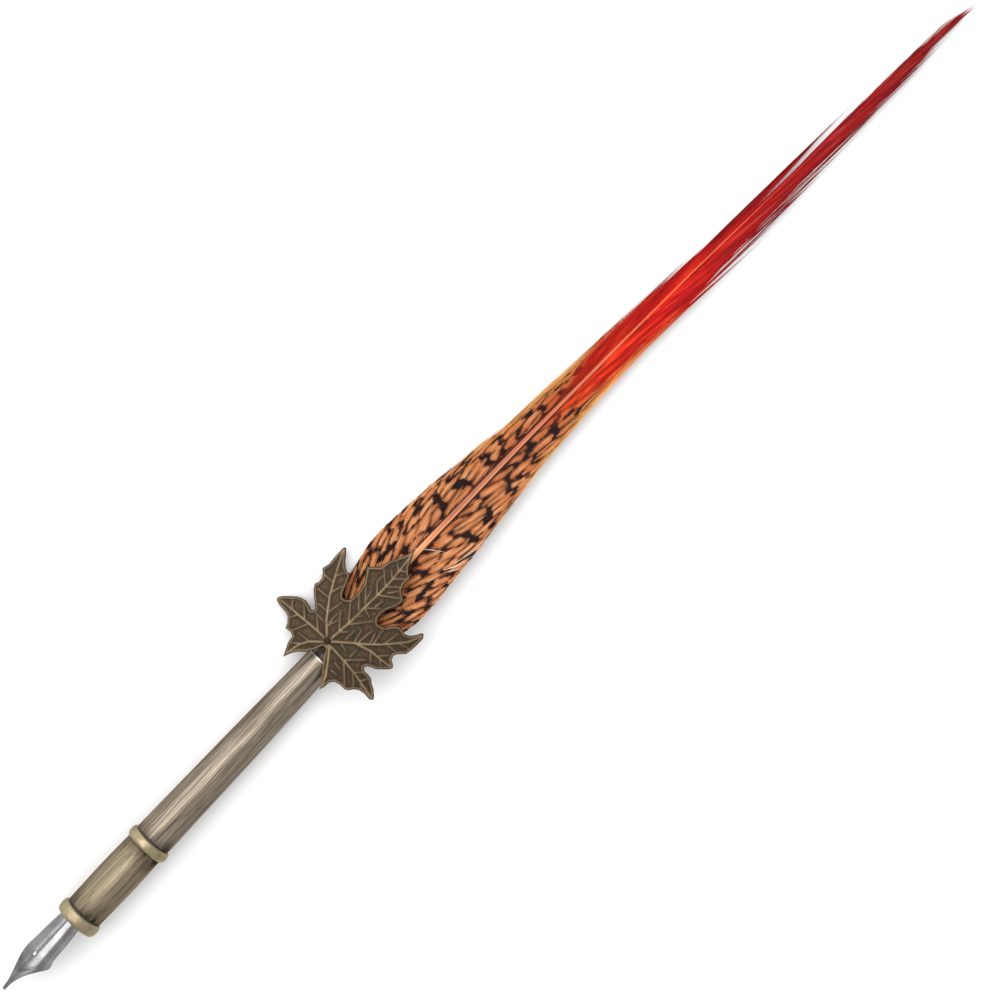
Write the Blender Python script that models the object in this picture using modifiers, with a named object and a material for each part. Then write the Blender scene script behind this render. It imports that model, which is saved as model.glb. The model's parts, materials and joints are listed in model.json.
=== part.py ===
"""Quill dip pen: steel nib, two-ring brass holder, maple-leaf badge and a feather in the tail.

Pen frame, in millimetres: +X runs from the nib's point to the feather's tip along the
barrel axis, +Z comes out of the leaf's face, +Y completes the right hand.
REST then lays the pen on a table: rolled onto a lobe of the leaf and pitched so that the
middle ring and the barrel's open end touch.
"""

import math

import bmesh
import bpy
from mathutils import Matrix, Vector

MM = 0.001
GAP = 0.02  # running clearance left between neighbouring pieces
STEPS = 56  # segments round every turned piece

# rest pose on the table
REST_ROLL = -19.03
REST_PITCH = 1.673

# stations along the barrel axis
RING_FRONT = 20.2
RING_WIDTH = 2.85
WASHER = 0.25
GRIP_FRONT = RING_FRONT + RING_WIDTH + WASHER
GRIP_BACK = 41.9
MID_RING_BACK = GRIP_BACK + 2.45
BARREL_FRONT = MID_RING_BACK + WASHER
BARREL_BACK = 97.0

# radii
RING_R = 5.0
RING_FACE_R = 4.25
GRIP_END_R = 4.31
GRIP_MID_R = 4.47
GRIP_BORE_R = 3.9
FERRULE_BORE_R = 3.6
FERRULE_R = GRIP_BORE_R - GAP
NECK_R = 3.0
THREAD_R = 2.55
THREAD_END = 52.6
BARREL_WALL = 0.5
BARREL_TAPER = (
    (BARREL_FRONT, 4.30),
    (56.0, 4.15),
    (63.5, 4.05),
    (76.0, 3.86),
    (82.5, 3.76),
    (89.0, 3.57),
    (BARREL_BACK, 3.43),
)

# nib: half-tube of sheet steel, rolled round the axis
NIB_THICKNESS = 0.3
NIB_ROLL = 29.0
NIB_SLIT = 0.12
NIB_HOLE_X = 10.2
NIB_HOLE_R = 0.48
NIB_BACK = 33.0
NIB_COLUMNS = 10
NIB_STATIONS = (  # x, crest height, section radius, half width along the arc
    (0.3, 2.80, 4.7, 0.36),
    (2.0, 3.00, 4.7, 0.57),
    (4.0, 3.20, 4.7, 1.19),
    (6.0, 3.35, 4.7, 2.20),
    (8.0, 3.50, 4.7, 3.44),
    (9.2, 3.55, 4.6, 4.50),
    (9.9, 3.55, 4.5, 4.80),
    (10.8, 3.55, 4.2, 4.62),
    (12.5, 3.55, 3.8, 4.30),
    (16.0, 3.53, 3.53, 4.10),
    (20.0, 3.53, 3.53, 3.80),
    (NIB_BACK, 3.53, 3.53, 3.60),
)

# spring clip behind the nib
CLIP_FRONT = 21.6
CLIP_SPLIT = 32.6
CLIP_R = 3.14
CLIP_WALL = 0.3
CLIP_BACK = 36.4
CLIP_SLOT = 0.8

# quill collar and feather shaft
COLLAR_FRONT = 86.0
COLLAR_STEP = 93.5
COLLAR_BACK = 103.0
COLLAR_NECK_R = 2.3
CALAMUS_R = 1.5
SHAFT = (  # x, y, height, radius
    (86.5, 0.0, 0.0, 1.45),
    (95.0, 0.0, 0.0, CALAMUS_R),
    (103.2, 0.0, 0.0, CALAMUS_R),
    (111.0, 0.55, 0.6, 0.95),
    (120.0, 0.95, 1.2, 0.75),
    (135.0, 1.05, 1.4, 0.66),
    (150.0, 0.9, 1.45, 0.60),
    (170.0, 0.5, 1.5, 0.46),
    (190.0, 0.0, 1.6, 0.33),
    (210.0, -0.7, 1.75, 0.22),
    (235.0, -1.9, 2.0, 0.13),
    (260.0, -3.0, 2.3, 0.10),
    (280.0, -4.3, 2.6, 0.09),
    (293.6, -5.5, 2.9, 0.07),
)

# feather vanes: outer edges, x and y, with a loose strand that ends early on each side
VANE_THICKNESS = 0.22
VANE_DROOP = 0.35
VANE_FRONT = 105.0
VANE_BACK = 292.4
VANE_STEP = 4.5
VANE_MIN_WIDTH = 0.14
LEFT_EDGE = (
    (VANE_FRONT, 3.0),
    (109.0, 6.3),
    (114.0, 8.0),
    (120.0, 9.3),
    (126.0, 9.8),
    (135.0, 9.2),
    (145.0, 8.0),
    (155.0, 6.5),
    (165.0, 5.1),
    (180.0, 3.9),
    (200.0, 2.9),
    (215.0, 1.5),
    (231.0, 0.6),
    (247.0, 0.1),
    (263.0, -0.85),
    (263.6, -2.15),
    (275.0, -2.7),
    (285.0, -3.5),
    (VANE_BACK, -5.1),
)
RIGHT_EDGE = (
    (VANE_FRONT, -3.0),
    (109.0, -6.8),
    (114.0, -8.9),
    (120.0, -9.3),
    (130.0, -8.5),
    (140.0, -7.7),
    (150.0, -6.7),
    (160.0, -5.8),
    (175.0, -4.6),
    (190.0, -4.7),
    (205.0, -5.2),
    (217.0, -6.0),
    (228.0, -7.0),
    (228.6, -4.7),
    (240.0, -4.8),
    (255.0, -5.2),
    (270.0, -5.5),
    (285.0, -5.6),
    (VANE_BACK, -5.75),
)
SPLIT_POINT = 0.06  # width of a split at its closed end
SPLITS = {  # point of each split, then its mouth: x, y, width
    "left": (
        ((231.0, -0.3), (264.5, -1.55, 1.15)),
        ((186.0, 1.6), (212.5, 2.35, 0.55)),
        ((163.0, 3.4), (184.0, 4.1, 0.5)),
    ),
    "right": (
        ((203.0, -3.6), (229.6, -5.75, 1.7)),
        ((172.0, -3.0), (192.0, -5.1, 0.6)),
        ((240.0, -3.8), (264.0, -5.6, 0.4)),
    ),
}

# leaf badge
LEAF_BACK_Z = 3.75
LEAF_THICKNESS = 0.85
LEAF_CURL = 0.0082  # fall of the leaf per square millimetre away from its rib
LEAF_RIB_Y = 1.5
VEIN_R = 0.42
RIVET = (100.9, 1.9)
RIVET_HEAD_R = 1.0
RIVET_HEAD_RISE = 0.5
RIVET_SHANK_R = 0.5
SADDLE = ((98.4, -0.9), (102.9, 3.5))
SADDLE_BASE_Z = 0.9
LEAF_OUTLINE = (
    (92.1, 6.4),
    (95.1, 4.9),
    (97.9, 2.5),
    (99.4, 1.9),
    (99.8, 1.1),
    (95.9, -1.5),
    (92.3, -3.9),
    (94.8, -4.4),
    (96.0, -6.2),
    (96.0, -7.9),
    (97.9, -10.1),
    (97.9, -13.1),
    (98.4, -13.7),
    (100.1, -12.2),
    (101.5, -10.0),
    (101.6, -8.3),
    (102.1, -7.6),
    (103.0, -8.1),
    (104.6, -10.8),
    (106.2, -12.1),
    (107.0, -11.1),
    (108.2, -10.4),
    (109.3, -11.1),
    (110.3, -12.1),
    (113.4, -12.5),
    (115.6, -12.4),
    (115.9, -11.9),
    (113.6, -10.0),
    (113.2, -9.0),
    (113.4, -6.7),
    (111.8, -5.4),
    (110.9, -3.3),
    (111.9, -2.6),
    (114.6, -2.9),
    (118.3, -3.9),
    (119.6, -2.1),
    (122.6, -1.8),
    (124.0, 0.0),
    (127.8, 1.8),
    (124.0, 3.05),
    (122.3, 4.0),
    (120.1, 4.4),
    (118.2, 6.7),
    (115.7, 5.0),
    (112.0, 4.2),
    (109.9, 5.8),
    (113.4, 7.5),
    (114.6, 8.1),
    (114.6, 9.4),
    (118.0, 12.8),
    (115.1, 13.0),
    (112.9, 12.8),
    (111.4, 13.3),
    (109.8, 11.9),
    (107.9, 12.2),
    (105.5, 10.0),
    (103.9, 8.3),
    (103.3, 8.9),
    (104.0, 11.1),
    (103.2, 13.2),
    (100.3, 16.0),
    (99.7, 15.5),
    (99.2, 11.9),
    (96.8, 10.2),
    (96.7, 8.1),
    (93.7, 7.2),
)
VEINS = (
    ((101.6, 1.6), (107.6, 1.1), (115.9, 0.8), (125.1, 1.25)),
    ((101.6, 2.7), (105.9, 6.4), (110.7, 9.4), (115.4, 11.8)),
    ((101.0, 3.0), (100.9, 8.0), (100.6, 14.0)),
    ((100.2, 2.6), (98.2, 4.7), (94.6, 6.2)),
    ((100.2, 1.2), (97.9, -0.8), (94.2, -3.4)),
    ((100.7, 0.9), (100.2, -5.0), (98.7, -11.9)),
    ((101.8, 1.0), (106.2, -4.7), (110.4, -8.9), (113.9, -11.4)),
    ((105.4, -3.9), (105.8, -6.5), (106.0, -10.4)),
)


def start_empty():
    for ob in list(bpy.data.objects):
        bpy.data.objects.remove(ob, do_unlink=True)


def collection(name):
    coll = bpy.data.collections.new(name)
    bpy.context.scene.collection.children.link(coll)
    return coll


def material(name, colour, metallic, roughness):
    mat = bpy.data.materials.new(name)
    mat.use_nodes = True
    shader = mat.node_tree.nodes["Principled BSDF"]
    shader.inputs["Base Color"].default_value = (*colour, 1.0)
    shader.inputs["Metallic"].default_value = metallic
    shader.inputs["Roughness"].default_value = roughness
    mat.diffuse_color = (*colour, 1.0)
    return mat


def along(table, x, column=1):
    """Value of a table's column at station x, on straight lines between its rows."""
    for a, b in zip(table, table[1:]):
        if x <= b[0]:
            share = max(0.0, (x - a[0]) / (b[0] - a[0]))
            return a[column] + (b[column] - a[column]) * share
    return table[-1][column]


def place(name, data, mat, frame=None):
    ob = bpy.data.objects.new(name, data)
    if mat is None:
        CUTTERS.objects.link(ob)
        ob.hide_render = True
        ob.display_type = "WIRE"
    else:
        PEN.objects.link(ob)
        data.materials.append(mat)
    ob.matrix_world = REST @ (frame or Matrix())
    return ob


def mesh_from(name, verts, faces, edges=()):
    mesh = bpy.data.meshes.new(name)
    mesh.from_pydata([Vector(v) * MM for v in verts], edges, faces)
    return mesh


def turned(name, outer, inner, mat):
    """Revolve a section round the pen axis. outer and inner list (x, radius), x rising."""
    section = [(r, 0.0, x) for x, r in reversed(outer)]
    section += [(r, 0.0, x) for x, r in inner]
    count = len(section)
    loop = [(i, (i + 1) % count) for i in range(count)]
    ob = place(name, mesh_from(name, section, [], loop), mat, AXIS_TO_X)
    screw = ob.modifiers.new("Revolve", "SCREW")
    screw.axis = "Z"
    screw.angle = math.tau
    screw.steps = STEPS
    screw.render_steps = STEPS
    screw.use_smooth_shade = True
    screw.use_merge_vertices = True
    screw.merge_threshold = 0.00001
    return ob


def solid_mesh(name, curve):
    """Mesh of a filled curve, with its caps welded on."""
    ob = bpy.data.objects.new(name, curve)
    mesh = bpy.data.meshes.new_from_object(ob)
    bpy.data.objects.remove(ob)
    bm = bmesh.new()
    bm.from_mesh(mesh)
    bmesh.ops.remove_doubles(bm, verts=bm.verts, dist=0.000001)
    bmesh.ops.recalc_face_normals(bm, faces=bm.faces)
    bm.to_mesh(mesh)
    bm.free()
    return mesh


def prism(name, outline, z0, z1):
    """Straight cutter block on a closed outline in the leaf's plane."""
    curve = bpy.data.curves.new(name, "CURVE")
    curve.dimensions = "2D"
    curve.fill_mode = "BOTH"
    curve.extrude = (z1 - z0) / 2 * MM
    spline = curve.splines.new("POLY")
    spline.points.add(len(outline) - 1)
    for point, (x, y) in zip(spline.points, outline):
        point.co = (x * MM, y * MM, 0.0, 1.0)
    spline.use_cyclic_u = True
    lift = Matrix.Translation((0.0, 0.0, (z0 + z1) / 2 * MM))
    return place(name, solid_mesh(name, curve), None, lift)


def box(name, low, high, frame=None, mat=None):
    (x0, y0, z0), (x1, y1, z1) = low, high
    mesh = bpy.data.meshes.new(name)
    bm = bmesh.new()
    bmesh.ops.create_cube(bm, size=1.0)
    size = Matrix.Diagonal(((x1 - x0) * MM, (y1 - y0) * MM, (z1 - z0) * MM, 1.0))
    centre = Vector((x0 + x1, y0 + y1, z0 + z1)) * 0.5 * MM
    bm.transform(Matrix.Translation(centre) @ size)
    bm.to_mesh(mesh)
    bm.free()
    return place(name, mesh, mat, frame)


def rod(name, radius, start, end, mat=None, segments=24):
    """Straight cylinder between two points."""
    mesh = bpy.data.meshes.new(name)
    a, b = Vector(start) * MM, Vector(end) * MM
    bm = bmesh.new()
    bmesh.ops.create_cone(
        bm,
        cap_ends=True,
        segments=segments,
        radius1=radius * MM,
        radius2=radius * MM,
        depth=(b - a).length,
    )
    turn = (b - a).to_track_quat("Z", "Y").to_matrix().to_4x4()
    bm.transform(Matrix.Translation((a + b) / 2) @ turn)
    bm.to_mesh(mesh)
    bm.free()
    return place(name, mesh, mat)


def boolean(ob, other, operation="DIFFERENCE", use_self=False):
    mod = ob.modifiers.new(operation.title(), "BOOLEAN")
    mod.operation = operation
    mod.solver = "EXACT"
    mod.object = other
    mod.use_self = use_self


def bead(x0, x1, face_r, top_r, points=9):
    """Rounded section of a trim ring, from face to face."""
    section = []
    for i in range(points):
        angle = math.pi * (1.0 - i / (points - 1))
        u = math.copysign(abs(math.cos(angle)) ** 0.8, math.cos(angle))
        rise = abs(math.sin(angle)) ** 0.8
        section.append(((x0 + x1) / 2 + u * (x1 - x0) / 2, face_r + (top_r - face_r) * rise))
    return section


def leaf_top(y):
    return LEAF_BACK_Z + LEAF_THICKNESS - LEAF_CURL * (y - LEAF_RIB_Y) ** 2


def build_nib(mat):
    roll = math.radians(NIB_ROLL)
    outward = Vector((0.0, math.sin(roll), math.cos(roll)))
    across = Vector((0.0, math.cos(roll), -math.sin(roll)))
    verts = []
    for x, crest, radius, half in NIB_STATIONS:
        centre = Vector((x, 0.0, 0.0)) + outward * (crest - radius)
        for j in range(NIB_COLUMNS + 1):
            phi = (2.0 * j / NIB_COLUMNS - 1.0) * half / radius
            verts.append(centre + (outward * math.cos(phi) + across * math.sin(phi)) * radius)
    width = NIB_COLUMNS + 1
    faces = []
    for i in range(len(NIB_STATIONS) - 1):
        for j in range(NIB_COLUMNS):
            a = i * width + j
            faces.append((a, a + width, a + width + 1, a + 1))
    nib = place("nib", mesh_from("nib", verts, faces), mat)
    nib.data.shade_smooth()
    solid = nib.modifiers.new("Sheet", "SOLIDIFY")
    solid.thickness = NIB_THICKNESS * MM
    solid.offset = -1.0
    solid.use_even_offset = True
    hole = rod(
        "nib_hole_cutter",
        NIB_HOLE_R,
        Vector((NIB_HOLE_X, 0, 0)) + outward * 2.0,
        Vector((NIB_HOLE_X, 0, 0)) + outward * 5.0,
    )
    boolean(nib, hole)
    half_slit = NIB_SLIT / 2
    slit = box(
        "nib_slit_cutter",
        (-1.0, -half_slit, 1.5),
        (NIB_HOLE_X, half_slit, 5.0),
        Matrix.Rotation(-roll, 4, "X"),
    )
    boolean(nib, slit)


def build_grip(brass, ring, black, steel):
    ring_back = RING_FRONT + RING_WIDTH
    ferrule_back = CLIP_SPLIT + 0.8
    turned(
        "front_ring",
        bead(RING_FRONT, ring_back, RING_FACE_R, RING_R)
        + [(ring_back, FERRULE_R), (ferrule_back, FERRULE_R)],
        [(RING_FRONT, FERRULE_BORE_R), (ferrule_back, FERRULE_BORE_R)],
        ring,
    )
    washer("front_washer", ring_back, GRIP_FRONT, GRIP_BORE_R, black)
    plug_front = CLIP_BACK + 0.3
    turned(
        "grip",
        [
            (GRIP_FRONT, GRIP_END_R - 0.12),
            (GRIP_FRONT + 0.4, GRIP_END_R),
            (28.0, GRIP_END_R + 0.1),
            ((GRIP_FRONT + GRIP_BACK) / 2, GRIP_MID_R),
            (37.5, GRIP_END_R + 0.1),
            (GRIP_BACK - 0.4, GRIP_END_R),
            (GRIP_BACK - GAP, GRIP_END_R - 0.12),
        ],
        [(GRIP_FRONT, GRIP_BORE_R), (GRIP_BACK - GAP, GRIP_BORE_R)],
        brass,
    )
    clip = turned(
        "nib_clip",
        [
            (CLIP_FRONT, CLIP_R - 0.18),
            (CLIP_FRONT + 0.9, CLIP_R),
            (ferrule_back + 0.3, CLIP_R),
            (ferrule_back + 0.3, FERRULE_R),
            (CLIP_BACK, FERRULE_R),
        ],
        [
            (CLIP_FRONT, CLIP_R - 0.18 - CLIP_WALL),
            (CLIP_FRONT + 0.9, CLIP_R - CLIP_WALL),
            (CLIP_BACK, CLIP_R - CLIP_WALL),
        ],
        steel,
    )
    half = CLIP_SLOT / 2
    for k in range(2):
        turn = Matrix.Rotation(math.radians(NIB_ROLL + 90.0 * k), 4, "X")
        slot = box(
            f"clip_slot_cutter_{k + 1}",
            (CLIP_FRONT - 1.0, -half, -4.5),
            (CLIP_SPLIT, half, 4.5),
            turn,
        )
        boolean(clip, slot)
    turned(
        "connector",
        [
            (plug_front, FERRULE_R - 0.15),
            (plug_front + 0.2, FERRULE_R),
            (GRIP_BACK - GAP, FERRULE_R),
            (GRIP_BACK - GAP, NECK_R),
            (BARREL_FRONT + 0.3, NECK_R),
            (BARREL_FRONT + 0.3, THREAD_R),
            (THREAD_END - 0.3, THREAD_R),
            (THREAD_END, THREAD_R - 0.3),
        ],
        [(plug_front, 1.5), (THREAD_END, 1.5)],
        brass,
    )
    turned(
        "middle_ring",
        bead(GRIP_BACK, MID_RING_BACK, GRIP_END_R - 0.05, RING_R),
        [(GRIP_BACK, NECK_R + GAP), (MID_RING_BACK, NECK_R + GAP)],
        ring,
    )
    washer("middle_washer", MID_RING_BACK, BARREL_FRONT, NECK_R + GAP, black)


def washer(name, x0, x1, bore, mat):
    rim = GRIP_END_R - 0.15
    turned(
        name,
        [(x0 + GAP, rim), (x1 - GAP, rim)],
        [(x0 + GAP, bore + GAP), (x1 - GAP, bore + GAP)],
        mat,
    )


def build_barrel(brass, collar_mat):
    rounding = 0.12
    outer = [(BARREL_FRONT, BARREL_TAPER[0][1] - rounding)]
    outer += [(BARREL_FRONT + rounding, BARREL_TAPER[0][1])]
    outer += list(BARREL_TAPER[1:-1])
    outer += [(BARREL_BACK - rounding, BARREL_TAPER[-1][1])]
    outer += [(BARREL_BACK, BARREL_TAPER[-1][1] - rounding)]
    bore = [(x, r - BARREL_WALL) for x, r in BARREL_TAPER]
    turned("barrel", outer, bore, brass)
    bush_front = BARREL_FRONT + 0.4
    bush_back = 54.0
    turned(
        "barrel_bush",
        [
            (bush_front, along(bore, bush_front) - GAP),
            (bush_back, along(bore, bush_back) - GAP),
        ],
        [(bush_front, THREAD_R + 0.05), (bush_back, THREAD_R + 0.05)],
        brass,
    )
    turned(
        "quill_collar",
        [
            (COLLAR_FRONT, along(bore, COLLAR_FRONT) - 2 * GAP),
            (89.0, along(bore, 89.0) - 2 * GAP),
            (COLLAR_STEP, along(bore, COLLAR_STEP) - 2 * GAP),
            (COLLAR_STEP, COLLAR_NECK_R),
            (COLLAR_BACK - 0.3, COLLAR_NECK_R),
            (COLLAR_BACK, COLLAR_NECK_R - 0.3),
        ],
        [(COLLAR_FRONT, CALAMUS_R + 0.05), (COLLAR_BACK, CALAMUS_R + 0.05)],
        collar_mat,
    )


def build_leaf(bronze, dark_bronze):
    y_low, y_high = -16.0, 18.0
    count = 16
    ys = [y_low + (y_high - y_low) * i / count for i in range(count + 1)]
    verts = [(x, y, leaf_top(y)) for y in ys for x in (90.0, 130.0)]
    faces = [(2 * i, 2 * i + 1, 2 * i + 3, 2 * i + 2) for i in range(count)]
    leaf = place("leaf", mesh_from("leaf", verts, faces), bronze)
    solid = leaf.modifiers.new("Plate", "SOLIDIFY")
    solid.thickness = LEAF_THICKNESS * MM
    solid.offset = -1.0
    boolean(leaf, prism("leaf_outline_cutter", LEAF_OUTLINE, -3.0, 8.0), "INTERSECT")
    for k, vein in enumerate(VEINS):
        boolean(leaf, vein_rod(f"leaf_vein_{k + 1}", vein), "UNION")
    x, y = RIVET
    boolean(leaf, rod("leaf_hole_cutter", RIVET_SHANK_R + 0.05, (x, y, 2.0), (x, y, 8.0)))
    (x0, y0), (x1, y1) = SADDLE
    seat = LEAF_BACK_Z - LEAF_CURL * (y1 - LEAF_RIB_Y) ** 2 - 0.1
    saddle = box("leaf_saddle", (x0, y0, SADDLE_BASE_Z), (x1, y1, seat), mat=dark_bronze)
    neck = rod("saddle_neck_cutter", COLLAR_NECK_R + GAP, (x0 - 2, 0, 0), (x1 + 2, 0, 0), segments=STEPS)
    boolean(saddle, neck)
    pin_end = seat - 1.3
    boolean(saddle, rod("saddle_hole_cutter", RIVET_SHANK_R + 0.05, (x, y, pin_end - 0.2), (x, y, 8.0)))
    rivet(x, y, pin_end, dark_bronze)


def vein_rod(name, points):
    """Tapered half-sunk rod along a vein, following the leaf's curl."""
    curve = bpy.data.curves.new(name, "CURVE")
    curve.dimensions = "3D"
    curve.bevel_depth = VEIN_R * MM
    curve.bevel_resolution = 1
    curve.use_fill_caps = True
    spline = curve.splines.new("POLY")
    spline.points.add(len(points) - 1)
    for i, (x, y) in enumerate(points):
        spline.points[i].co = (*(Vector((x, y, leaf_top(y) - 0.12)) * MM), 1.0)
        spline.points[i].radius = 1.0 - 0.5 * i / (len(points) - 1)
    return place(name, solid_mesh(name, curve), None)


def rivet(x, y, pin_end, mat):
    """Domed head on the leaf's face with a shank down into the saddle."""
    seat = leaf_top(y) + VEIN_R + 0.05
    dome = []
    for i in range(5):
        angle = math.pi / 2 * (1.0 - i / 4)
        radius = max(RIVET_HEAD_R * math.cos(angle), 0.001)
        dome.append((radius, 0.0, seat + RIVET_HEAD_RISE * math.sin(angle)))
    section = dome + [(RIVET_SHANK_R, 0.0, seat), (RIVET_SHANK_R, 0.0, pin_end)]
    section += [(0.001, 0.0, pin_end)]
    count = len(section)
    loop = [(i, (i + 1) % count) for i in range(count)]
    frame = Matrix.Translation(Vector((x, y, 0.0)) * MM)
    ob = place("leaf_rivet", mesh_from("leaf_rivet", section, [], loop), mat, frame)
    screw = ob.modifiers.new("Revolve", "SCREW")
    screw.axis = "Z"
    screw.angle = math.tau
    screw.steps = 24
    screw.render_steps = 24
    screw.use_smooth_shade = True
    screw.use_merge_vertices = True
    screw.merge_threshold = 0.00001
    return ob


def build_feather(shaft_mat, left_mat, right_mat):
    curve = bpy.data.curves.new("feather_shaft", "CURVE")
    curve.dimensions = "3D"
    curve.bevel_depth = MM
    curve.bevel_resolution = 3
    curve.use_fill_caps = True
    curve.resolution_u = 2
    spline = curve.splines.new("POLY")
    spline.points.add(len(SHAFT) - 1)
    for point, (x, y, z, radius) in zip(spline.points, SHAFT):
        point.co = (*(Vector((x, y, z)) * MM), 1.0)
        point.radius = radius
    place("feather_shaft", curve, shaft_mat)
    vane("left", LEFT_EDGE, 1.0, left_mat)
    vane("right", RIGHT_EDGE, -1.0, right_mat)


def vane(side, edge, sign, mat):
    """One side of the feather: a thin sheet from the shaft to its outer edge."""
    count = round((VANE_BACK - VANE_FRONT) / VANE_STEP)
    stations = [VANE_FRONT + (VANE_BACK - VANE_FRONT) * i / count for i in range(count + 1)]
    stations = sorted(set(stations) | {x for x, _ in edge})
    columns = 3
    verts = []
    for x in stations:
        inner = along(SHAFT, x) + sign * (along(SHAFT, x, 3) + 0.08)
        width = max(sign * (along(edge, x) - inner), VANE_MIN_WIDTH)
        for j in range(columns + 1):
            t = j / columns
            fall = VANE_DROOP * t * t * min(1.0, width / 5.0)
            verts.append((x, inner + sign * width * t, along(SHAFT, x, 2) - fall))
    row = columns + 1
    faces = []
    for i in range(len(stations) - 1):
        for j in range(columns):
            a = i * row + j
            quad = (a, a + row, a + row + 1, a + 1)
            faces.append(quad if sign > 0 else tuple(reversed(quad)))
    name = f"vane_{side}"
    ob = place(name, mesh_from(name, verts, faces), mat)
    ob.data.shade_smooth()
    solid = ob.modifiers.new("Sheet", "SOLIDIFY")
    solid.thickness = VANE_THICKNESS * MM
    solid.offset = 0.0
    for k, ((ax, ay), (bx, by, gap)) in enumerate(SPLITS[side]):
        wedge = [
            (ax, ay + SPLIT_POINT / 2),
            (ax, ay - SPLIT_POINT / 2),
            (bx, by - gap / 2),
            (bx, by + gap / 2),
        ]
        boolean(ob, prism(f"{name}_split_cutter_{k + 1}", wedge, -3.0, 9.0))


def stand_on_table():
    """Move everything so that the pen's box stands on the origin."""
    bpy.context.view_layer.update()
    graph = bpy.context.evaluated_depsgraph_get()
    points = []
    for ob in PEN.objects:
        shape = ob.evaluated_get(graph)
        mesh = shape.to_mesh()
        points += [shape.matrix_world @ v.co for v in mesh.vertices]
        shape.to_mesh_clear()
    low = [min(p[i] for p in points) for i in range(3)]
    high = [max(p[i] for p in points) for i in range(3)]
    shift = Vector(((low[0] + high[0]) / 2, (low[1] + high[1]) / 2, low[2]))
    for ob in list(PEN.objects) + list(CUTTERS.objects):
        ob.matrix_world = Matrix.Translation(-shift) @ ob.matrix_world


start_empty()
PEN = collection("quill_pen")
CUTTERS = collection("cutters")
REST = Matrix.Rotation(math.radians(REST_PITCH), 4, "Y") @ Matrix.Rotation(
    math.radians(REST_ROLL), 4, "X"
)
AXIS_TO_X = Matrix.Rotation(math.radians(90.0), 4, "Y")

steel = material("nib_steel", (0.72, 0.72, 0.74), 1.0, 0.15)
clip_steel = material("clip_steel", (0.55, 0.55, 0.56), 1.0, 0.35)
antique_brass = material("antique_brass", (0.42, 0.36, 0.29), 1.0, 0.38)
ring_brass = material("ring_brass", (0.62, 0.54, 0.33), 1.0, 0.3)
black_fibre = material("black_fibre", (0.02, 0.02, 0.02), 0.0, 0.6)
dark_wood = material("collar_resin", (0.1, 0.05, 0.04), 0.0, 0.5)
leaf_bronze = material("leaf_bronze", (0.26, 0.2, 0.13), 1.0, 0.5)
rivet_bronze = material("rivet_bronze", (0.2, 0.16, 0.11), 1.0, 0.5)
rachis = material("feather_rachis", (0.75, 0.38, 0.2), 0.0, 0.45)
barbs_left = material("feather_barbs_left", (0.75, 0.2, 0.06), 0.0, 0.75)
barbs_right = material("feather_barbs_right", (0.72, 0.18, 0.05), 0.0, 0.75)

build_nib(steel)
build_grip(antique_brass, ring_brass, black_fibre, clip_steel)
build_barrel(antique_brass, dark_wood)
build_leaf(leaf_bronze, rivet_bronze)
build_feather(rachis, barbs_left, barbs_right)
stand_on_table()
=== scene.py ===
import json
import math

import bpy
import numpy as np
from mathutils import Matrix, Vector
from mathutils.geometry import delaunay_2d_cdt


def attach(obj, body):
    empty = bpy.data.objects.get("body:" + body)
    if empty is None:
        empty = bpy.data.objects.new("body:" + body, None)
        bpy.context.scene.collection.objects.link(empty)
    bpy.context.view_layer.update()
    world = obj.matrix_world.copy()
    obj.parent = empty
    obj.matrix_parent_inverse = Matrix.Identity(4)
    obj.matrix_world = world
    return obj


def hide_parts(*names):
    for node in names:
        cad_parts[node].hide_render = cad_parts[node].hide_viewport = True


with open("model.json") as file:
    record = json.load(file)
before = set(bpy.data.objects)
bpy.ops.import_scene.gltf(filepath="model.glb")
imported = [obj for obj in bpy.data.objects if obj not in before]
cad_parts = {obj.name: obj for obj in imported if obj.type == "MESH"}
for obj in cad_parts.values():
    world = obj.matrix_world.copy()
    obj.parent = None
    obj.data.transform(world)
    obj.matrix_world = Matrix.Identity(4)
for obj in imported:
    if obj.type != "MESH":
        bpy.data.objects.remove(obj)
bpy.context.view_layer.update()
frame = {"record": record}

RNG = np.random.default_rng(7)
MM = 0.001


# -------- the pen's own frame
# x from the nib's point to the feather's tip, z out of the leaf's face, in millimetres
def frame_matrix(x, y, z, place):
    """Matrix with three axes and a place as its columns."""
    return Matrix.Translation(place) @ Matrix((x, y, z)).transposed().to_4x4()


JOINTS = {j["name"]: j for j in frame["record"]["behaviour"]["joints"]}
MOUNTS = {m["name"]: m for m in frame["record"]["mounts"]}
SEAM_X = 44.6  # the section's joint, where the grip section meets the barrel
RING_X = 20.2  # the front ring's face, which holds the mount
axis_x = -Vector(JOINTS["section_turn"]["axis"]).normalized()
seam = Vector(JOINTS["section_turn"]["pos_m"])
origin = seam - axis_x * SEAM_X * MM
axis_z = Vector(MOUNTS["ring_face"]["pos_m"]) - (origin + axis_x * RING_X * MM)
axis_z = (axis_z - axis_x * axis_z.dot(axis_x)).normalized()
axis_y = axis_z.cross(axis_x)
PEN = frame_matrix(axis_x, axis_y, axis_z, origin)


def lerp(table, x):
    """Straight lines through a table's points."""
    xs, ys = zip(*table)
    return np.interp(x, xs, ys)


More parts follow.
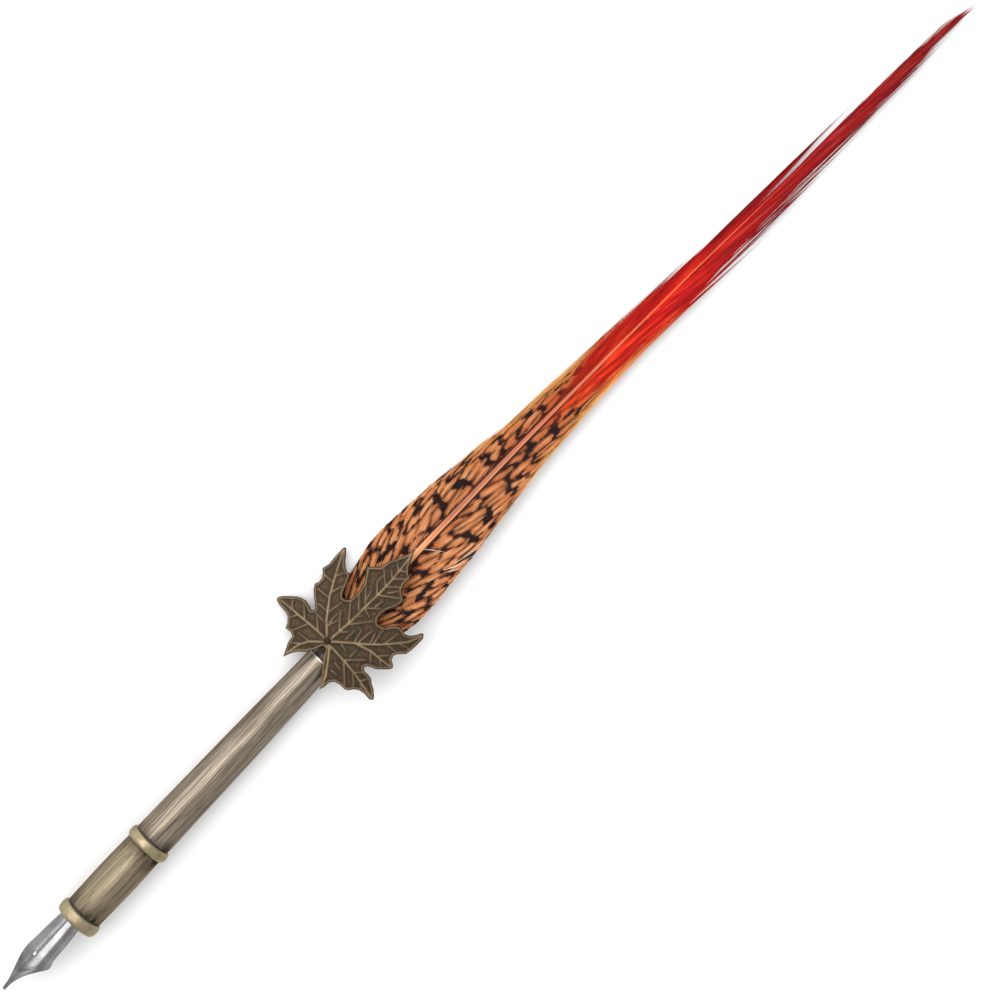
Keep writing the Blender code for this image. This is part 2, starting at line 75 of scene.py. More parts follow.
def smooth(table, x):
    """Monotone cubic through a table's points."""
    xs = np.array([p[0] for p in table], float)
    ys = np.array([p[1] for p in table], float)
    d = np.diff(ys) / np.diff(xs)
    m = np.zeros_like(ys)
    m[0], m[-1] = d[0], d[-1]
    same = d[:-1] * d[1:] > 0
    m[1:-1] = np.where(same, 2 * d[:-1] * d[1:] / np.where(same, d[:-1] + d[1:], 1), 0)
    x = np.clip(np.asarray(x, float), xs[0], xs[-1])
    i = np.clip(np.searchsorted(xs, x) - 1, 0, len(xs) - 2)
    h = xs[i + 1] - xs[i]
    t = (x - xs[i]) / h
    return (
        ys[i] * (1 + 2 * t) * (1 - t) ** 2
        + h * m[i] * t * (1 - t) ** 2
        + ys[i + 1] * t * t * (3 - 2 * t)
        + h * m[i + 1] * t * t * (t - 1)
    )


def at(table, x):
    """Monotone cubic at one place."""
    return float(smooth(table, x))


# -------- mesh helpers
LATHE_SEGMENTS = 160


def add_object(name, data):
    ob = bpy.data.objects.new(name, data)
    bpy.context.scene.collection.objects.link(ob)
    return ob


def piece(name, verts, faces, body, mat, sharp=40):
    """Smooth-shaded mesh in the pen's frame that rides one body."""
    mesh = bpy.data.meshes.new(name)
    mesh.from_pydata((np.asarray(verts, float) * MM).tolist(), [], faces)
    mesh.validate()
    ob = add_object(name, mesh)
    ob.matrix_world = PEN
    mesh.materials.append(mat)
    mesh.shade_smooth()
    mesh.set_sharp_from_angle(angle=math.radians(sharp))
    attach(ob, body)
    return ob


def stand_for(ob, node):
    """Hide the CAD node that a piece is shown in place of."""
    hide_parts(node)


def dress(node, mat):
    """Give a carried-over CAD node its material."""
    ob = bpy.data.objects[node]
    ob.data.materials.clear()
    ob.data.materials.append(mat)


def tag(ob, name, values):
    """Store a number or a vector at each vertex, for a material to read."""
    values = np.asarray(values, np.float32)
    kind, key = ("FLOAT_VECTOR", "vector") if values.ndim == 2 else ("FLOAT", "value")
    ob.data.attributes.new(name, kind, "POINT").data.foreach_set(key, values.ravel())


def circle(count):
    return np.linspace(0, 2 * math.pi, count, endpoint=False)


def ring_faces(rings, count, closed=False):
    """Quads between neighbouring rings of points. Closed joins the last ring to the first."""
    faces = []
    for i in range(rings if closed else rings - 1):
        a = i * count
        b = (i + 1) % rings * count
        for k in range(count):
            n = (k + 1) % count
            faces.append((a + k, a + n, b + n, b + k))
    return faces


def lathe(name, section, body, mat, sharp=40):
    """Closed section of (x, radius) turned round the pen's axis."""
    angles = circle(LATHE_SEGMENTS)
    verts = [(x, r * math.cos(a), r * math.sin(a)) for x, r in section for a in angles]
    return piece(name, verts, ring_faces(len(section), LATHE_SEGMENTS, True), body, mat, sharp)


def sheet_solid(outer, inner):
    """Closed solid between two grids of points of one shape (rows, columns, 3)."""
    rows, cols = outer.shape[:2]
    verts = np.concatenate([outer.reshape(-1, 3), inner.reshape(-1, 3)])
    half = rows * cols
    faces = []
    for i in range(rows - 1):
        for j in range(cols - 1):
            a = i * cols + j
            faces.append((a, a + cols, a + cols + 1, a + 1))
            faces.append((half + a, half + a + 1, half + a + cols + 1, half + a + cols))
    rim = [i * cols for i in range(rows)] + [(rows - 1) * cols + j for j in range(1, cols)]
    rim += [i * cols + cols - 1 for i in range(rows - 2, -1, -1)] + list(range(cols - 2, 0, -1))
    for a, b in zip(rim, rim[1:] + rim[:1]):
        faces.append((b, a, half + a, half + b))
    return verts, faces


# -------- node materials
class Mat:
    """Small builder for a node material round one Principled shader."""

    def __init__(self, name):
        self.mat = bpy.data.materials.new(name)
        self.mat.use_nodes = True
        self.tree = self.mat.node_tree
        self.shader = self.tree.nodes["Principled BSDF"]
        self.coords = self.node("ShaderNodeTexCoord")

    def node(self, kind, inputs=None, **props):
        made = self.tree.nodes.new(kind)
        for key, value in props.items():
            setattr(made, key, value)
        for key, value in (inputs or {}).items():
            self.feed(made.inputs[key], value)
        return made

    def feed(self, socket, value):
        if isinstance(value, bpy.types.NodeSocket):
            self.tree.links.new(value, socket)
        elif isinstance(value, (tuple, list)) and len(value) == 3 and socket.type == "RGBA":
            socket.default_value = (*value, 1)
        else:
            socket.default_value = value

    def set(self, **values):
        for key, value in values.items():
            self.feed(self.shader.inputs[key.replace("_", " ")], value)
        return self.mat

    def mm(self, sx=1, sy=1, sz=1, source=None):
        """Object coordinates in millimetres, or another vector, stretched."""
        scale = (sx / MM, sy / MM, sz / MM) if source is None else (sx, sy, sz)
        source = source or self.coords.outputs["Object"]
        return self.node("ShaderNodeMapping", {"Vector": source, "Scale": scale}).outputs[0]

    def split(self, vector):
        return self.node("ShaderNodeSeparateXYZ", {"Vector": vector}).outputs

    def read(self, name, output="Fac"):
        """Value that tag stored on the mesh."""
        return self.node("ShaderNodeAttribute", attribute_name=name).outputs[output]

    def noise(self, vector, scale=1, detail=3, rough=0.55):
        inputs = {"Vector": vector, "Scale": scale, "Detail": detail, "Roughness": rough}
        return self.node("ShaderNodeTexNoise", inputs).outputs["Fac"]

    def remap(self, value, a, b, c=0, d=1, smoothed=False):
        """Value from a..b brought to c..d, and held there outside it."""
        made = self.node(
            "ShaderNodeMapRange",
            {"Value": value, "From Min": a, "From Max": b, "To Min": c, "To Max": d},
            interpolation_type="SMOOTHSTEP" if smoothed else "LINEAR",
        )
        return made.outputs[0]

    def math(self, op, a, b=0):
        made = self.node("ShaderNodeMath", operation=op)
        self.feed(made.inputs[0], a)
        self.feed(made.inputs[1], b)
        return made.outputs[0]

    def add(self, a, b):
        return self.math("ADD", a, b)

    def sub(self, a, b):
        return self.math("SUBTRACT", a, b)

    def mul(self, a, b):
        return self.math("MULTIPLY", a, b)

    def swing(self, noise, size):
        """Noise that runs either side of zero."""
        return self.mul(self.sub(noise, 0.5), size)

    def mix(self, factor, a, b, blend="MIX"):
        made = self.node("ShaderNodeMix", data_type="RGBA", blend_type=blend)
        self.feed(made.inputs[0], factor)
        self.feed(made.inputs[6], a)
        self.feed(made.inputs[7], b)
        return made.outputs[2]

    def tint(self, colour, by):
        return self.mix(1, colour, by, "MULTIPLY")

    def bump(self, height, strength=0.3, distance=0.05, normal=None):
        inputs = {"Height": height, "Strength": strength, "Distance": distance * MM}
        if normal is not None:
            inputs["Normal"] = normal
        return self.node("ShaderNodeBump", inputs).outputs[0]


def rgb(r, g, b):
    """Scene-linear colour from 0-255 display values."""
    shares = (r / 255, g / 255, b / 255)
    return tuple(v / 12.92 if v <= 0.04045 else ((v + 0.055) / 1.055) ** 2.4 for v in shares)


def grained(name, stretch, scale, detail, colours, rough, bump, band=None, metallic=0):
    """Two colours mixed by one noise, which also moves the roughness and the surface."""
    m = Mat(name)
    grain = m.noise(m.mm(*stretch), scale, detail)
    return m.set(
        Base_Color=m.mix(m.remap(grain, *band) if band else grain, *colours),
        Metallic=metallic,
        Roughness=m.remap(grain, 0.3, 0.7, *rough),
        Normal=m.bump(grain, *bump),
    )


def brushed(name, light, dark, sooty):
    """Metal brushed along the pen's axis: dark hairlines, tarnish, and soot against the rings, with painted
    shade that darkens the soot towards the -y side; the barrel's mouth rim is painted pale, as rubbed metal
    and a painted highlight.
    """
    m = Mat(name)
    fine = m.noise(m.mm(0.07, 3.4, 3.4))
    broad = m.noise(m.mm(0.035, 1.3, 1.3))
    hairs = m.noise(m.mm(0.2, 6.5, 6.5), detail=4, rough=0.65)
    tarnish = m.noise(m.mm(0.16, 0.7, 0.7), detail=4)
    colour = m.mix(m.remap(m.add(fine, m.mul(broad, 0.4)), 0.56, 0.84), dark, light)
    colour = m.mix(m.remap(tarnish, 0.46, 0.72, 0, 0.45), colour, dark)
    smoky = m.tint(colour, (0.66, 0.61, 0.63))
    x, y, _ = m.split(m.mm())
    near = None
    for place, reach in sooty:
        spot = m.remap(m.math("ABSOLUTE", m.sub(x, place)), 0, reach, 1, 0)
        near = spot if near is None else m.math("MAXIMUM", near, spot)
    colour = m.mix(m.mul(near, 0.7), colour, smoky)
    # painted shade: the soot near the rings grows darker towards the -y side, away from the key light, and
    # fainter towards +y
    low = m.remap(y, 2.5, -2, 0.55, 1.2)
    near = m.mul(m.mul(near, low), m.remap(tarnish, 0.3, 0.6))
    soot_and_shade = m.remap(m.add(hairs, m.mul(near, 0.26)), 0.56, 0.7, 0, 0.6)
    soot_and_shade = m.math("MAXIMUM", soot_and_shade, m.mul(m.mul(near, near), 0.9))
    colour = m.mix(soot_and_shade, colour, m.mix(fine, rgb(33, 29, 23), rgb(53, 45, 35)))
    # painted highlight and wear: the last 0.3 mm of the barrel's mouth is painted pale cream
    worn_mouth_and_highlight = m.remap(x, 96.55, 96.85, 0, 0.8)
    colour = m.mix(worn_mouth_and_highlight, colour, rgb(206, 198, 184))
    return m.set(
        Base_Color=colour,
        Metallic=1,
        Specular_Tint=(0.55, 0.52, 0.48),
        Roughness=m.add(m.remap(fine, 0.3, 0.7, 0.36, 0.5), m.mul(soot_and_shade, 0.12)),
        Normal=m.bump(m.sub(fine, m.mul(soot_and_shade, 0.4)), 0.3, 0.008),
    )


def turned_metal(name, light, dark, rough=0.25):
    """Metal turned on a lathe: faint rings and specks of tarnish."""
    m = Mat(name)
    rings = m.noise(m.mm(9, 0.15, 0.15), detail=2)
    spots = m.noise(m.mm(0.8, 0.8, 0.8), detail=5, rough=0.7)
    colour = m.mix(m.remap(spots, 0.4, 0.7), light, dark)
    colour = m.mix(m.remap(rings, 0.55, 0.8, 0, 0.2), colour, dark)
    return m.set(
        Base_Color=colour,
        Metallic=1,
        Specular_Tint=(0.9, 0.86, 0.8),
        Roughness=m.remap(spots, 0.3, 0.7, rough - 0.05, rough + 0.1),
        Normal=m.bump(rings, 0.15, 0.01, m.bump(spots, 0.1, 0.02)),
    )


# -------- holder
# sections of (x, radius)
FERRULE_R = 3.88
RING_FACE_R = 4.25
RING_R = 5
GRIP = (
    (23.3, 4.2), (23.42, 4.29), (23.7, 4.32), (26.5, 4.37), (29.5, 4.43), (32.6, 4.46), (35.7, 4.44),
    (38.5, 4.38), (41.5, 4.32), (41.78, 4.29), (41.88, 4.2), (41.88, 3.9), (23.3, 3.9),
)
BARREL_WALL = 0.5
BARREL_LIP = ((44.62, 4.18), (44.66, 4.25))
BARREL = (
    (44.8, 4.29), (46, 4.285), (50, 4.23), (55.9, 4.15), (63.5, 4.05), (69.8, 3.97), (76.2, 3.86),
    (82.5, 3.75), (88.9, 3.59), (91.4, 3.53), (95, 3.46), (96.75, 3.43),
)
BARREL_MOUTH = ((96.92, 3.41), (97, 3.36), (97.02, 3.2), (97, 3), (96.9, 2.95))
COLLAR = (
    (86, 3.1), (89, 3), (93.5, 2.9), (93.5, 2.3), (96.5, 2.3), (99, 2.22), (102.6, 2.1), (103, 1.8),
    (103, 1.55), (86, 1.55),
)
SPIGOT_FRONT = ((36.7, 3.85), (41.85, 3.85), (41.86, 3), (44.9, 3), (44.92, 2.4))
THREAD = (45.2, 52.2)
THREAD_PITCH = 0.8
THREAD_ROOT_R = 2.4
THREAD_CREST_R = 2.56
SPIGOT_END = ((52.2, 2.4), (52.6, 2.25), (52.6, 1.5), (36.7, 1.5))


def ring_section(x0, x1, bore, ferrule=()):
    """Rounded trim ring, with its ferrule tube behind it where it has one."""
    section = []
    for a in np.linspace(math.pi, 0, 28):
        across = math.copysign(abs(math.cos(a)) ** 0.8, math.cos(a))
        rise = (RING_R - RING_FACE_R) * math.sin(a) ** 0.8
        section.append(((x0 + x1) / 2 + across * (x1 - x0) / 2, RING_FACE_R + rise))
    back = ferrule[-1][0] if ferrule else x1
    return [*section, *ferrule, (back, bore), (x0, bore)]


def seam_section(x0, x1, bore):
    return [(x0, 4.2), (x1, 4.2), (x1, bore), (x0, bore)]


def spigot_section():
    ridges = []
    for x in np.arange(*THREAD, THREAD_PITCH):
        ridges += [(x, THREAD_ROOT_R), (x + THREAD_PITCH / 2, THREAD_CREST_R)]
    return [*SPIGOT_FRONT, *ridges, *SPIGOT_END]


def build_holder():
    ring = turned_metal("ring_brass", rgb(154, 143, 115), rgb(127, 113, 88), 0.42)
    machined = turned_metal("machined_brass", rgb(168, 144, 91), rgb(113, 89, 47))
    steel = turned_metal("clip_steel", rgb(144, 144, 147), rgb(91, 91, 95))
    grip = brushed("grip_pewter", rgb(151, 138, 115), rgb(101, 91, 75), ((23.2, 6), (42, 4.6)))
    barrel = brushed("barrel_pewter", rgb(152, 140, 125), rgb(97, 88, 76), ((44.5, 3),))
    # painted shade: the seam rings are near black, standing in for the shade in the narrow gaps between the
    # rings and the tubes
    gap_shade = grained("seam_gap_shade", (1, 1, 1), 3, 4, ((0.008, 0.008, 0.008), (0.03, 0.028, 0.026)),
                    (0.45, 0.7), (0.2, 0.03))
    brown = grained("collar_brown", (0.12, 3.2, 3.2), 1, 4, (rgb(26, 18, 12), rgb(98, 75, 57)),
                    (0.35, 0.6), (0.6, 0.12), (0.42, 0.74))
    ferrule = ((23.05, FERRULE_R), (33.4, FERRULE_R))
    bore = [(x, r - BARREL_WALL) for x, r in reversed(BARREL)]
    for name, node, section, body, mat, sharp in (
        ("front_ring_bead", "front_ring", ring_section(20.2, 23.05, 3.6, ferrule), "section", ring, 40),
        ("middle_ring_bead", "middle_ring", ring_section(41.9, 44.35, 3.02), "section", ring, 40),
        ("front_seam", "front_washer", seam_section(23.07, 23.28, 3.92), "section", gap_shade, 40),
        ("middle_seam", "middle_washer", seam_section(44.37, 44.58, 3.04), "carrier", gap_shade, 40),
        ("grip_tube", "grip", GRIP, "section", grip, 40),
        ("barrel_tube", "barrel", [*BARREL_LIP, *BARREL, *BARREL_MOUTH, *bore], "holder", barrel, 40),
        ("quill_neck", "quill_collar", COLLAR, "holder", brown, 40),
        ("threaded_spigot", "connector", spigot_section(), "section", machined, 30),
    ):
        stand_for(lathe(name, section, body, mat, sharp), node)
    dress("barrel_bush", machined)
    dress("nib_clip", steel)


# -------- nib
# stations of x: height of the crest above the axis, radius of the section, half width along the arc
NIB_ROLL = math.radians(29)
NIB_OUT = np.array([0, math.sin(NIB_ROLL), math.cos(NIB_ROLL)])
NIB_ACROSS = np.array([0, math.cos(NIB_ROLL), -math.sin(NIB_ROLL)])
NIB_CREST = ((0, 2.78), (2, 3), (4, 3.2), (6, 3.35), (8, 3.48), (10, 3.54), (13, 3.53), (33, 3.53))
NIB_RADIUS = ((0, 4.7), (7.5, 4.7), (10, 4.6), (13, 4.3), (16, 4.05), (20, 3.53), (33, 3.53))
NIB_HALF = (
    (0, 0.22), (0.35, 0.4), (1, 0.44), (2, 0.57), (4, 1.19), (6, 2.18), (7.3, 3.02), (8.4, 3.8),
    (9.2, 4.45), (9.7, 4.78), (10.1, 4.86), (10.6, 4.72), (11.4, 4.42), (13, 4.22), (16, 4.1), (20, 3.8),
    (33, 3.6),
)
NIB_SHEET = 0.28
NIB_SLIT = 0.035
NIB_HOLE_X = 10.2
NIB_HOLE = (0.55, 0.42)
NIB_EDGE = 0.16
TIPPING_X = 0.35
TIPPING_R = 0.42


def nib_point(x, s, depth=0):
    """Point of the nib at station x and arc distance s from its crest, depth below the face."""
    crest, radius = smooth(NIB_CREST, x), smooth(NIB_RADIUS, x)
    phi = s / radius
    r = (radius - depth)[..., None]
    centre = (crest - radius)[..., None] * NIB_OUT
    point = centre + r * (np.cos(phi)[..., None] * NIB_OUT + np.sin(phi)[..., None] * NIB_ACROSS)
    point[..., 0] = x
    return point


def emboss(x, s):
    """Engraved lines behind the slit: a double chevron, edge lines, and faint rings by the hole."""
    mark = np.zeros_like(x)
    for start, end, weight in ((4.95, 8.1, 1), (5.5, 8.6, 0.6)):
        arm = np.abs(np.abs(s) - (x - start) * 0.84)
        mark = np.maximum(mark, weight * np.exp(-((arm / 0.11) ** 2)) * ((x > start) & (x < end)))
    edge = np.abs(smooth(NIB_HALF, x) - np.abs(s) - 0.42)
    mark = np.maximum(mark, 0.4 * np.exp(-((edge / 0.1) ** 2)) * ((x > 2.4) & (x < 9)))
    for centre, radius, weight in ((0, 0.66, 0.6), (-1.25, 0.55, 0.35)):
        ring = np.abs(np.hypot(x - NIB_HOLE_X, s - centre) - radius)
        mark = np.maximum(mark, weight * np.exp(-((ring / 0.1) ** 2)))
    return mark


def nib_steel():
    m = Mat("nib_steel")
    drawn = m.noise(m.mm(0.15, 8, 8))
    smudge = m.noise(m.mm(0.35, 0.35, 0.35), detail=4, rough=0.6)
    specks = m.noise(m.mm(3, 3, 3), detail=2)
    colour = m.mix(m.remap(smudge, 0.35, 0.7), rgb(137, 136, 137), rgb(115, 113, 115))
    colour = m.mix(m.remap(drawn, 0.5, 0.75, 0, 0.3), colour, rgb(88, 86, 88))
    colour = m.mix(m.mul(m.read("etched"), 0.75), colour, rgb(53, 51, 51))
    front = m.remap(m.split(m.mm())[0], 11, 7)
    colour = m.mix(m.mul(front, 0.85), colour, m.tint(colour, (0.56, 0.55, 0.55)))
    rough = m.add(m.remap(smudge, 0.3, 0.7, 0.14, 0.22), m.remap(specks, 0.6, 0.8, 0, 0.08))
    return m.set(
        Base_Color=colour,
        Metallic=1,
        Specular_Tint=(0.7, 0.7, 0.7),
        Roughness=m.add(rough, m.mul(front, 0.14)),
        Normal=m.bump(drawn, 0.15, 0.01, m.bump(smudge, 0.05, 0.1)),
    )


def nib_half(side):
    """One tine and its side of the heel: verts, faces and the engraving at each vertex."""
    outer, inner, mark = [], [], []
    front, body, heel = np.linspace(0, 1, 8), np.linspace(1, 12, 150), np.linspace(12, 33, 60)
    share = np.linspace(0, 1, 48) ** 1.15
    for x in np.unique(np.concatenate([front, body, heel])):
        half = at(NIB_HALF, x)
        gap = NIB_SLIT if x < NIB_HOLE_X else 0
        along = (x - NIB_HOLE_X) / NIB_HOLE[0]
        if abs(along) < 1:
            gap = max(gap, NIB_HOLE[1] * math.sqrt(1 - along * along))
        s = side * (gap + (half - gap) * share)
        station = np.full_like(s, x)
        etched = emboss(station, s)
        rounding = np.minimum(1, (1 - share) * half / NIB_EDGE)
        outer.append(nib_point(station, s, 0.03 * etched + 0.06 * (1 - np.sqrt(np.clip(rounding, 0, 1)))))
        inner.append(nib_point(station, s, np.full_like(s, NIB_SHEET)))
        mark.append(etched)
    outer, inner, mark = (np.array(grid)[:, ::side] for grid in (outer, inner, mark))
    verts, faces = sheet_solid(outer, inner)
    return verts, faces, np.concatenate([mark.ravel(), np.zeros(mark.size)])


def build_nib():
    steel = nib_steel()
    verts, faces, marks = [], [], []
    for side in (1, -1):
        v, f, mark = nib_half(side)
        base = len(verts)
        verts += v.tolist()
        faces += [tuple(i + base for i in face) for face in f]
        marks.append(mark)
    nib = piece("nib_sheet", verts, faces, "nib", steel, 50)
    tag(nib, "etched", np.concatenate(marks))
    weld = nib.modifiers.new("Join", "WELD")
    weld.merge_threshold = 0.000002
    stand_for(nib, "nib")

    centre = nib_point(np.array([TIPPING_X]), np.array([0]), np.array([0.16]))[0]
    rings = 12
    verts = []
    for a in np.linspace(0, math.pi, rings):
        x, r = -0.8 * TIPPING_R * math.cos(a), TIPPING_R * math.sin(a)
        for b in circle(20):
            verts.append(tuple(centre + np.array([x, r * math.cos(b), r * 0.62 * math.sin(b)])))
    piece("nib_tipping", verts, ring_faces(rings, 20), "nib", steel)


# -------- leaf badge
LEAF_OUTLINE = (
    (92.1, 6.4), (93.7, 5.8), (95.1, 4.9), (96.2, 3.6), (97.9, 2.5), (99.4, 1.9), (99.8, 1.1), (97.9, 0),
    (95.9, -1.5), (94.6, -2.5), (93.6, -3.2), (92.3, -3.9), (93.2, -4.2), (94.8, -4.4), (95.7, -5.1),
    (96, -6.25), (96, -7.9), (96.4, -8.5), (97.3, -9.2), (97.9, -10.1), (98.1, -11.4), (97.9, -13.05),
    (98.4, -13.75), (99.1, -13.3), (100.1, -12.2), (100.7, -11.1), (101.4, -10.3), (101.6, -9.4),
    (101.6, -8.3), (102.05, -7.6), (102.75, -7.8), (103.2, -8.6), (103.6, -9.7), (104.6, -10.8),
    (105.5, -11.8), (106.2, -12.1), (106.8, -11.5), (107.3, -10.7), (108.2, -10.4), (109, -10.8),
    (109.6, -11.4), (110.25, -12.1), (111.8, -12.4), (113.4, -12.5), (115.1, -12.5), (115.9, -11.9),
    (115.8, -11.5), (114.6, -10.8), (113.6, -10), (113.2, -9), (113.6, -7.8), (113.4, -6.7), (112.6, -5.8),
    (111.8, -5.4), (111.1, -4.4), (110.9, -3.3), (111.8, -2.6), (113.2, -2.5), (114.6, -2.9), (115.9, -3.6),
    (117.3, -4), (118.3, -3.9), (118.9, -2.9), (119.6, -2.1), (120.7, -1.7), (122.6, -1.8), (123.2, -0.7),
    (124, 0), (125.1, 0.55), (127.8, 1.8), (125.9, 2.2), (124, 3.05), (122.3, 4), (120.1, 4.4),
    (119.3, 5.3), (118.6, 6.1), (118.2, 6.7), (117.05, 5.8), (115.7, 5), (114, 4.4), (112.05, 4.2),
    (110.7, 4.4), (110, 5.1), (109.9, 5.8), (110.4, 6.4), (111.8, 6.9), (113.4, 7.5), (114.6, 8.05),
    (114.4, 8.9), (114.8, 9.7), (115.7, 10.7), (116.8, 11.5), (117.75, 12.4), (118, 12.8), (117.3, 13.05),
    (115.1, 13), (112.9, 12.8), (111.4, 13.3), (110.7, 12.5), (109.8, 11.9), (108.7, 11.8), (107.9, 12.2),
    (107.05, 11.7), (105.9, 10.55), (105, 9.4), (104.1, 8.5), (103.9, 8.3), (103.3, 8.9), (103.7, 9.7),
    (104, 11.1), (103.8, 12.1), (103.2, 13.2), (102.3, 14.2), (101.2, 15.4), (100.25, 16), (99.7, 15.55),
    (99.4, 14.4), (99.3, 12.5), (99, 11.7), (97.9, 10.7), (96.8, 10.2), (97, 8.9), (96.6, 8.05),
    (95.1, 7.8), (93.7, 7.2),
)
MAIN_VEINS = (
    ((101.5, 1.7), (103.4, 1.5), (107.6, 1.1), (111.8, 1), (115.9, 0.8),
     (120.1, 0.8), (125.1, 1.25), (127.3, 1.75)),
    ((101.4, 2.4), (104, 5), (105.9, 6.4), (108.2, 8.05), (110.7, 9.4), (113.4, 10.8), (117.2, 12.6)),
    ((101, 2.8), (101.1, 4.4), (101, 6.9), (100.8, 9.4), (100.7, 11.7), (100.4, 14.9)),
    ((100.3, 2.4), (98.2, 4.7), (96.2, 5.8), (93, 6.45)),
    ((100.5, 1.3), (100.6, 0), (100.3, -4), (99.9, -7), (99.2, -10), (98.5, -13.2)),
    ((101.4, 1.3), (104, -1.9), (106.2, -4.7), (108.2, -6.9),
     (110.4, -8.9), (112.3, -10.6), (115.2, -11.95)),
    ((104.7, -2.8), (105.7, -6.4), (105.8, -9.2), (106.1, -11.5)),
)
STEM = (
    ((100.2, 1.5), (97.7, -0.25), (94.9, -2.25), (93, -3.4)),
    ((100.5, 0.75), (98.1, -1), (95.3, -2.95), (92.9, -3.85)),
)
SMALL_VEINS = (
    ((104, 1.4), (107.6, 4.3)), ((104.1, 4.2), (106.6, 4.4)), ((107, 1.4), (110.7, 4.3)),
    ((110.3, 1.6), (113.2, 4.2)), ((112.2, 1.5), (117.6, 6.2)), ((112.9, 1.9), (115.1, 2.4)),
    ((115.4, 1.1), (117.3, 2.8), (119.1, 2.8)), ((117.9, 1), (120.2, 3.6)), ((119.9, 0.9), (121.2, 2.4)),
    ((122, 1.1), (123.2, 2.5)), ((104.3, 1.1), (105.4, 0)), ((104, -0.7), (106.4, -0.8)),
    ((106.8, 0.9), (110.7, -2.4)), ((109.2, 0.9), (109.9, 0.1)), ((111.4, 0.7), (110.7, -1.1)),
    ((111.6, 0.8), (113.6, -1.6)), ((113.2, -0.55), (115.1, -0.8)), ((115.4, 0.7), (118.3, -3.5)),
    ((117.1, -0.5), (118.8, -1.7)), ((117.8, 0.7), (119.7, -1.4)), ((120.1, 0.7), (121.9, -1.2)),
    ((122.3, 0.9), (123.1, -0.3)), ((105.9, 5.9), (108.9, 5.3)), ((105.4, 8.6), (105.5, 6.6)),
    ((107.6, 10.9), (107.8, 8)), ((110.7, 12), (110.8, 9.7)), ((109, 8.4), (111.5, 7.6)),
    ((112, 10.1), (113.6, 9.4)), ((103.2, 4.1), (105.8, 3.3)), ((100.9, 7.3), (97.3, 8.9)),
    ((100.6, 10.3), (99, 11.2)), ((100.7, 12), (102.3, 13.4)), ((101, 8.6), (103.3, 11)),
    ((101.2, 4.9), (103.1, 6.9)), ((103.6, 7.5), (103.5, 5.4)), ((98.3, 4.9), (98, 7.5)),
    ((96.8, 5.6), (95.4, 7.2)), ((100.4, -3.4), (96.5, -7.3)), ((100, -6.4), (97.7, -8.7)),
    ((99.3, -9.3), (98.3, -10.6)), ((100.4, -3.4), (103.6, -6.7)), ((101.9, -3.9), (103.9, -3.9)),
    ((100, -6.8), (101.3, -8.2)), ((99.6, -9), (100.8, -9.8)), ((97, -3), (97.1, -4.4)),
    ((98.7, -2.4), (98.4, -4.2)), ((102.5, -0.8), (102.2, -2.3)), ((105.5, -3.1), (109.1, -3.5)),
    ((104.9, -2.4), (107.6, -1.8)), ((107.4, -5.6), (110.7, -5.1)), ((108.7, -7.3), (112.2, -7.9)),
    ((108.9, -7.6), (109.2, -10.1)), ((110.8, -9.3), (111.5, -11.7)), ((105.8, -6.1), (103.9, -7.8)),
    ((105.8, -8), (107.6, -9.6)), ((105.8, -8.8), (104.8, -9.9)), ((106.9, -5), (109, -4.4)),
)
LEAF_BACK_Z = 3.75
LEAF_THICK = 0.85
LEAF_CURL = 0.0082  # fall per square millimetre away from the leaf's rib
LEAF_RIB_Y = 1.5
LEAF_STEP = 0.2  # spacing of the points inside the outline
RIM_STEP = 0.22  # spacing of the points on it
RIVET = (100.95, 1.9)


def segment_distance(points, line):
    """Distance from each point to a polyline, and the share of the way along it."""
    line = np.asarray(line, float)
    lengths = np.linalg.norm(np.diff(line, axis=0), axis=1)
    total = lengths.sum()
    best = np.full(len(points), 1e9)
    share = np.zeros(len(points))
    gone = 0
    for a, b, length in zip(line, line[1:], lengths):
        t = np.clip(((points - a) @ (b - a)) / max(length**2, 1e-9), 0, 1)
        d = np.linalg.norm(points - (a + t[:, None] * (b - a)), axis=1)
        closer = d < best
        best[closer] = d[closer]
        share[closer] = (gone + t[closer] * length) / total
        gone += length
    return best, share


def leaf_relief(points, rim):
    """Height of the leaf's face above its plate, and how worn each point is."""
    height = np.zeros(len(points))
    near = np.full(len(points), 9)
    for vein in MAIN_VEINS:
        d, t = segment_distance(points, vein)
        near = np.minimum(near, d - 0.15)
        width = 0.33 - 0.09 * t
        height = np.maximum(height, (0.34 - 0.12 * t) * np.exp(-((d / width) ** 2) * 1.6))
    for vein in STEM:
        d, t = segment_distance(points, vein)
        height = np.maximum(height, 0.42 * np.exp(-((d / 0.34) ** 2) * 1.6))
    for vein in SMALL_VEINS:
        d, t = segment_distance(points, vein)
        near = np.minimum(near, d)
        height = np.maximum(height, (0.2 - 0.06 * t) * np.exp(-((d / 0.27) ** 2) * 1.6))
    edge = np.exp(-(((rim - 0.34) / 0.2) ** 2))
    height = np.maximum(height, 0.19 * edge)
    worn = np.clip(height / 0.22, 0, 1)
    groove = segment_distance(points, ((99.6, 0.7), (97, -1.2), (93.6, -3.4)))[0]
    worn *= 1 - 0.6 * np.exp(-((groove / 0.16) ** 2))
    height -= 0.15 * np.exp(-((groove / 0.2) ** 2))
    pit = np.hypot(points[:, 0] - RIVET[0], points[:, 1] - RIVET[1])
    height = np.where(pit < 1.5, height * np.clip((pit - 0.7) / 0.8, 0, 1), height)
    halo = np.exp(-(((np.minimum(near, np.abs(rim - 0.3)) - 0.5) / 0.28) ** 2)) * (worn < 0.75)
    halo = np.maximum(halo, 1.3 * np.exp(-((pit / 1.1) ** 2)))
    return height, worn, halo


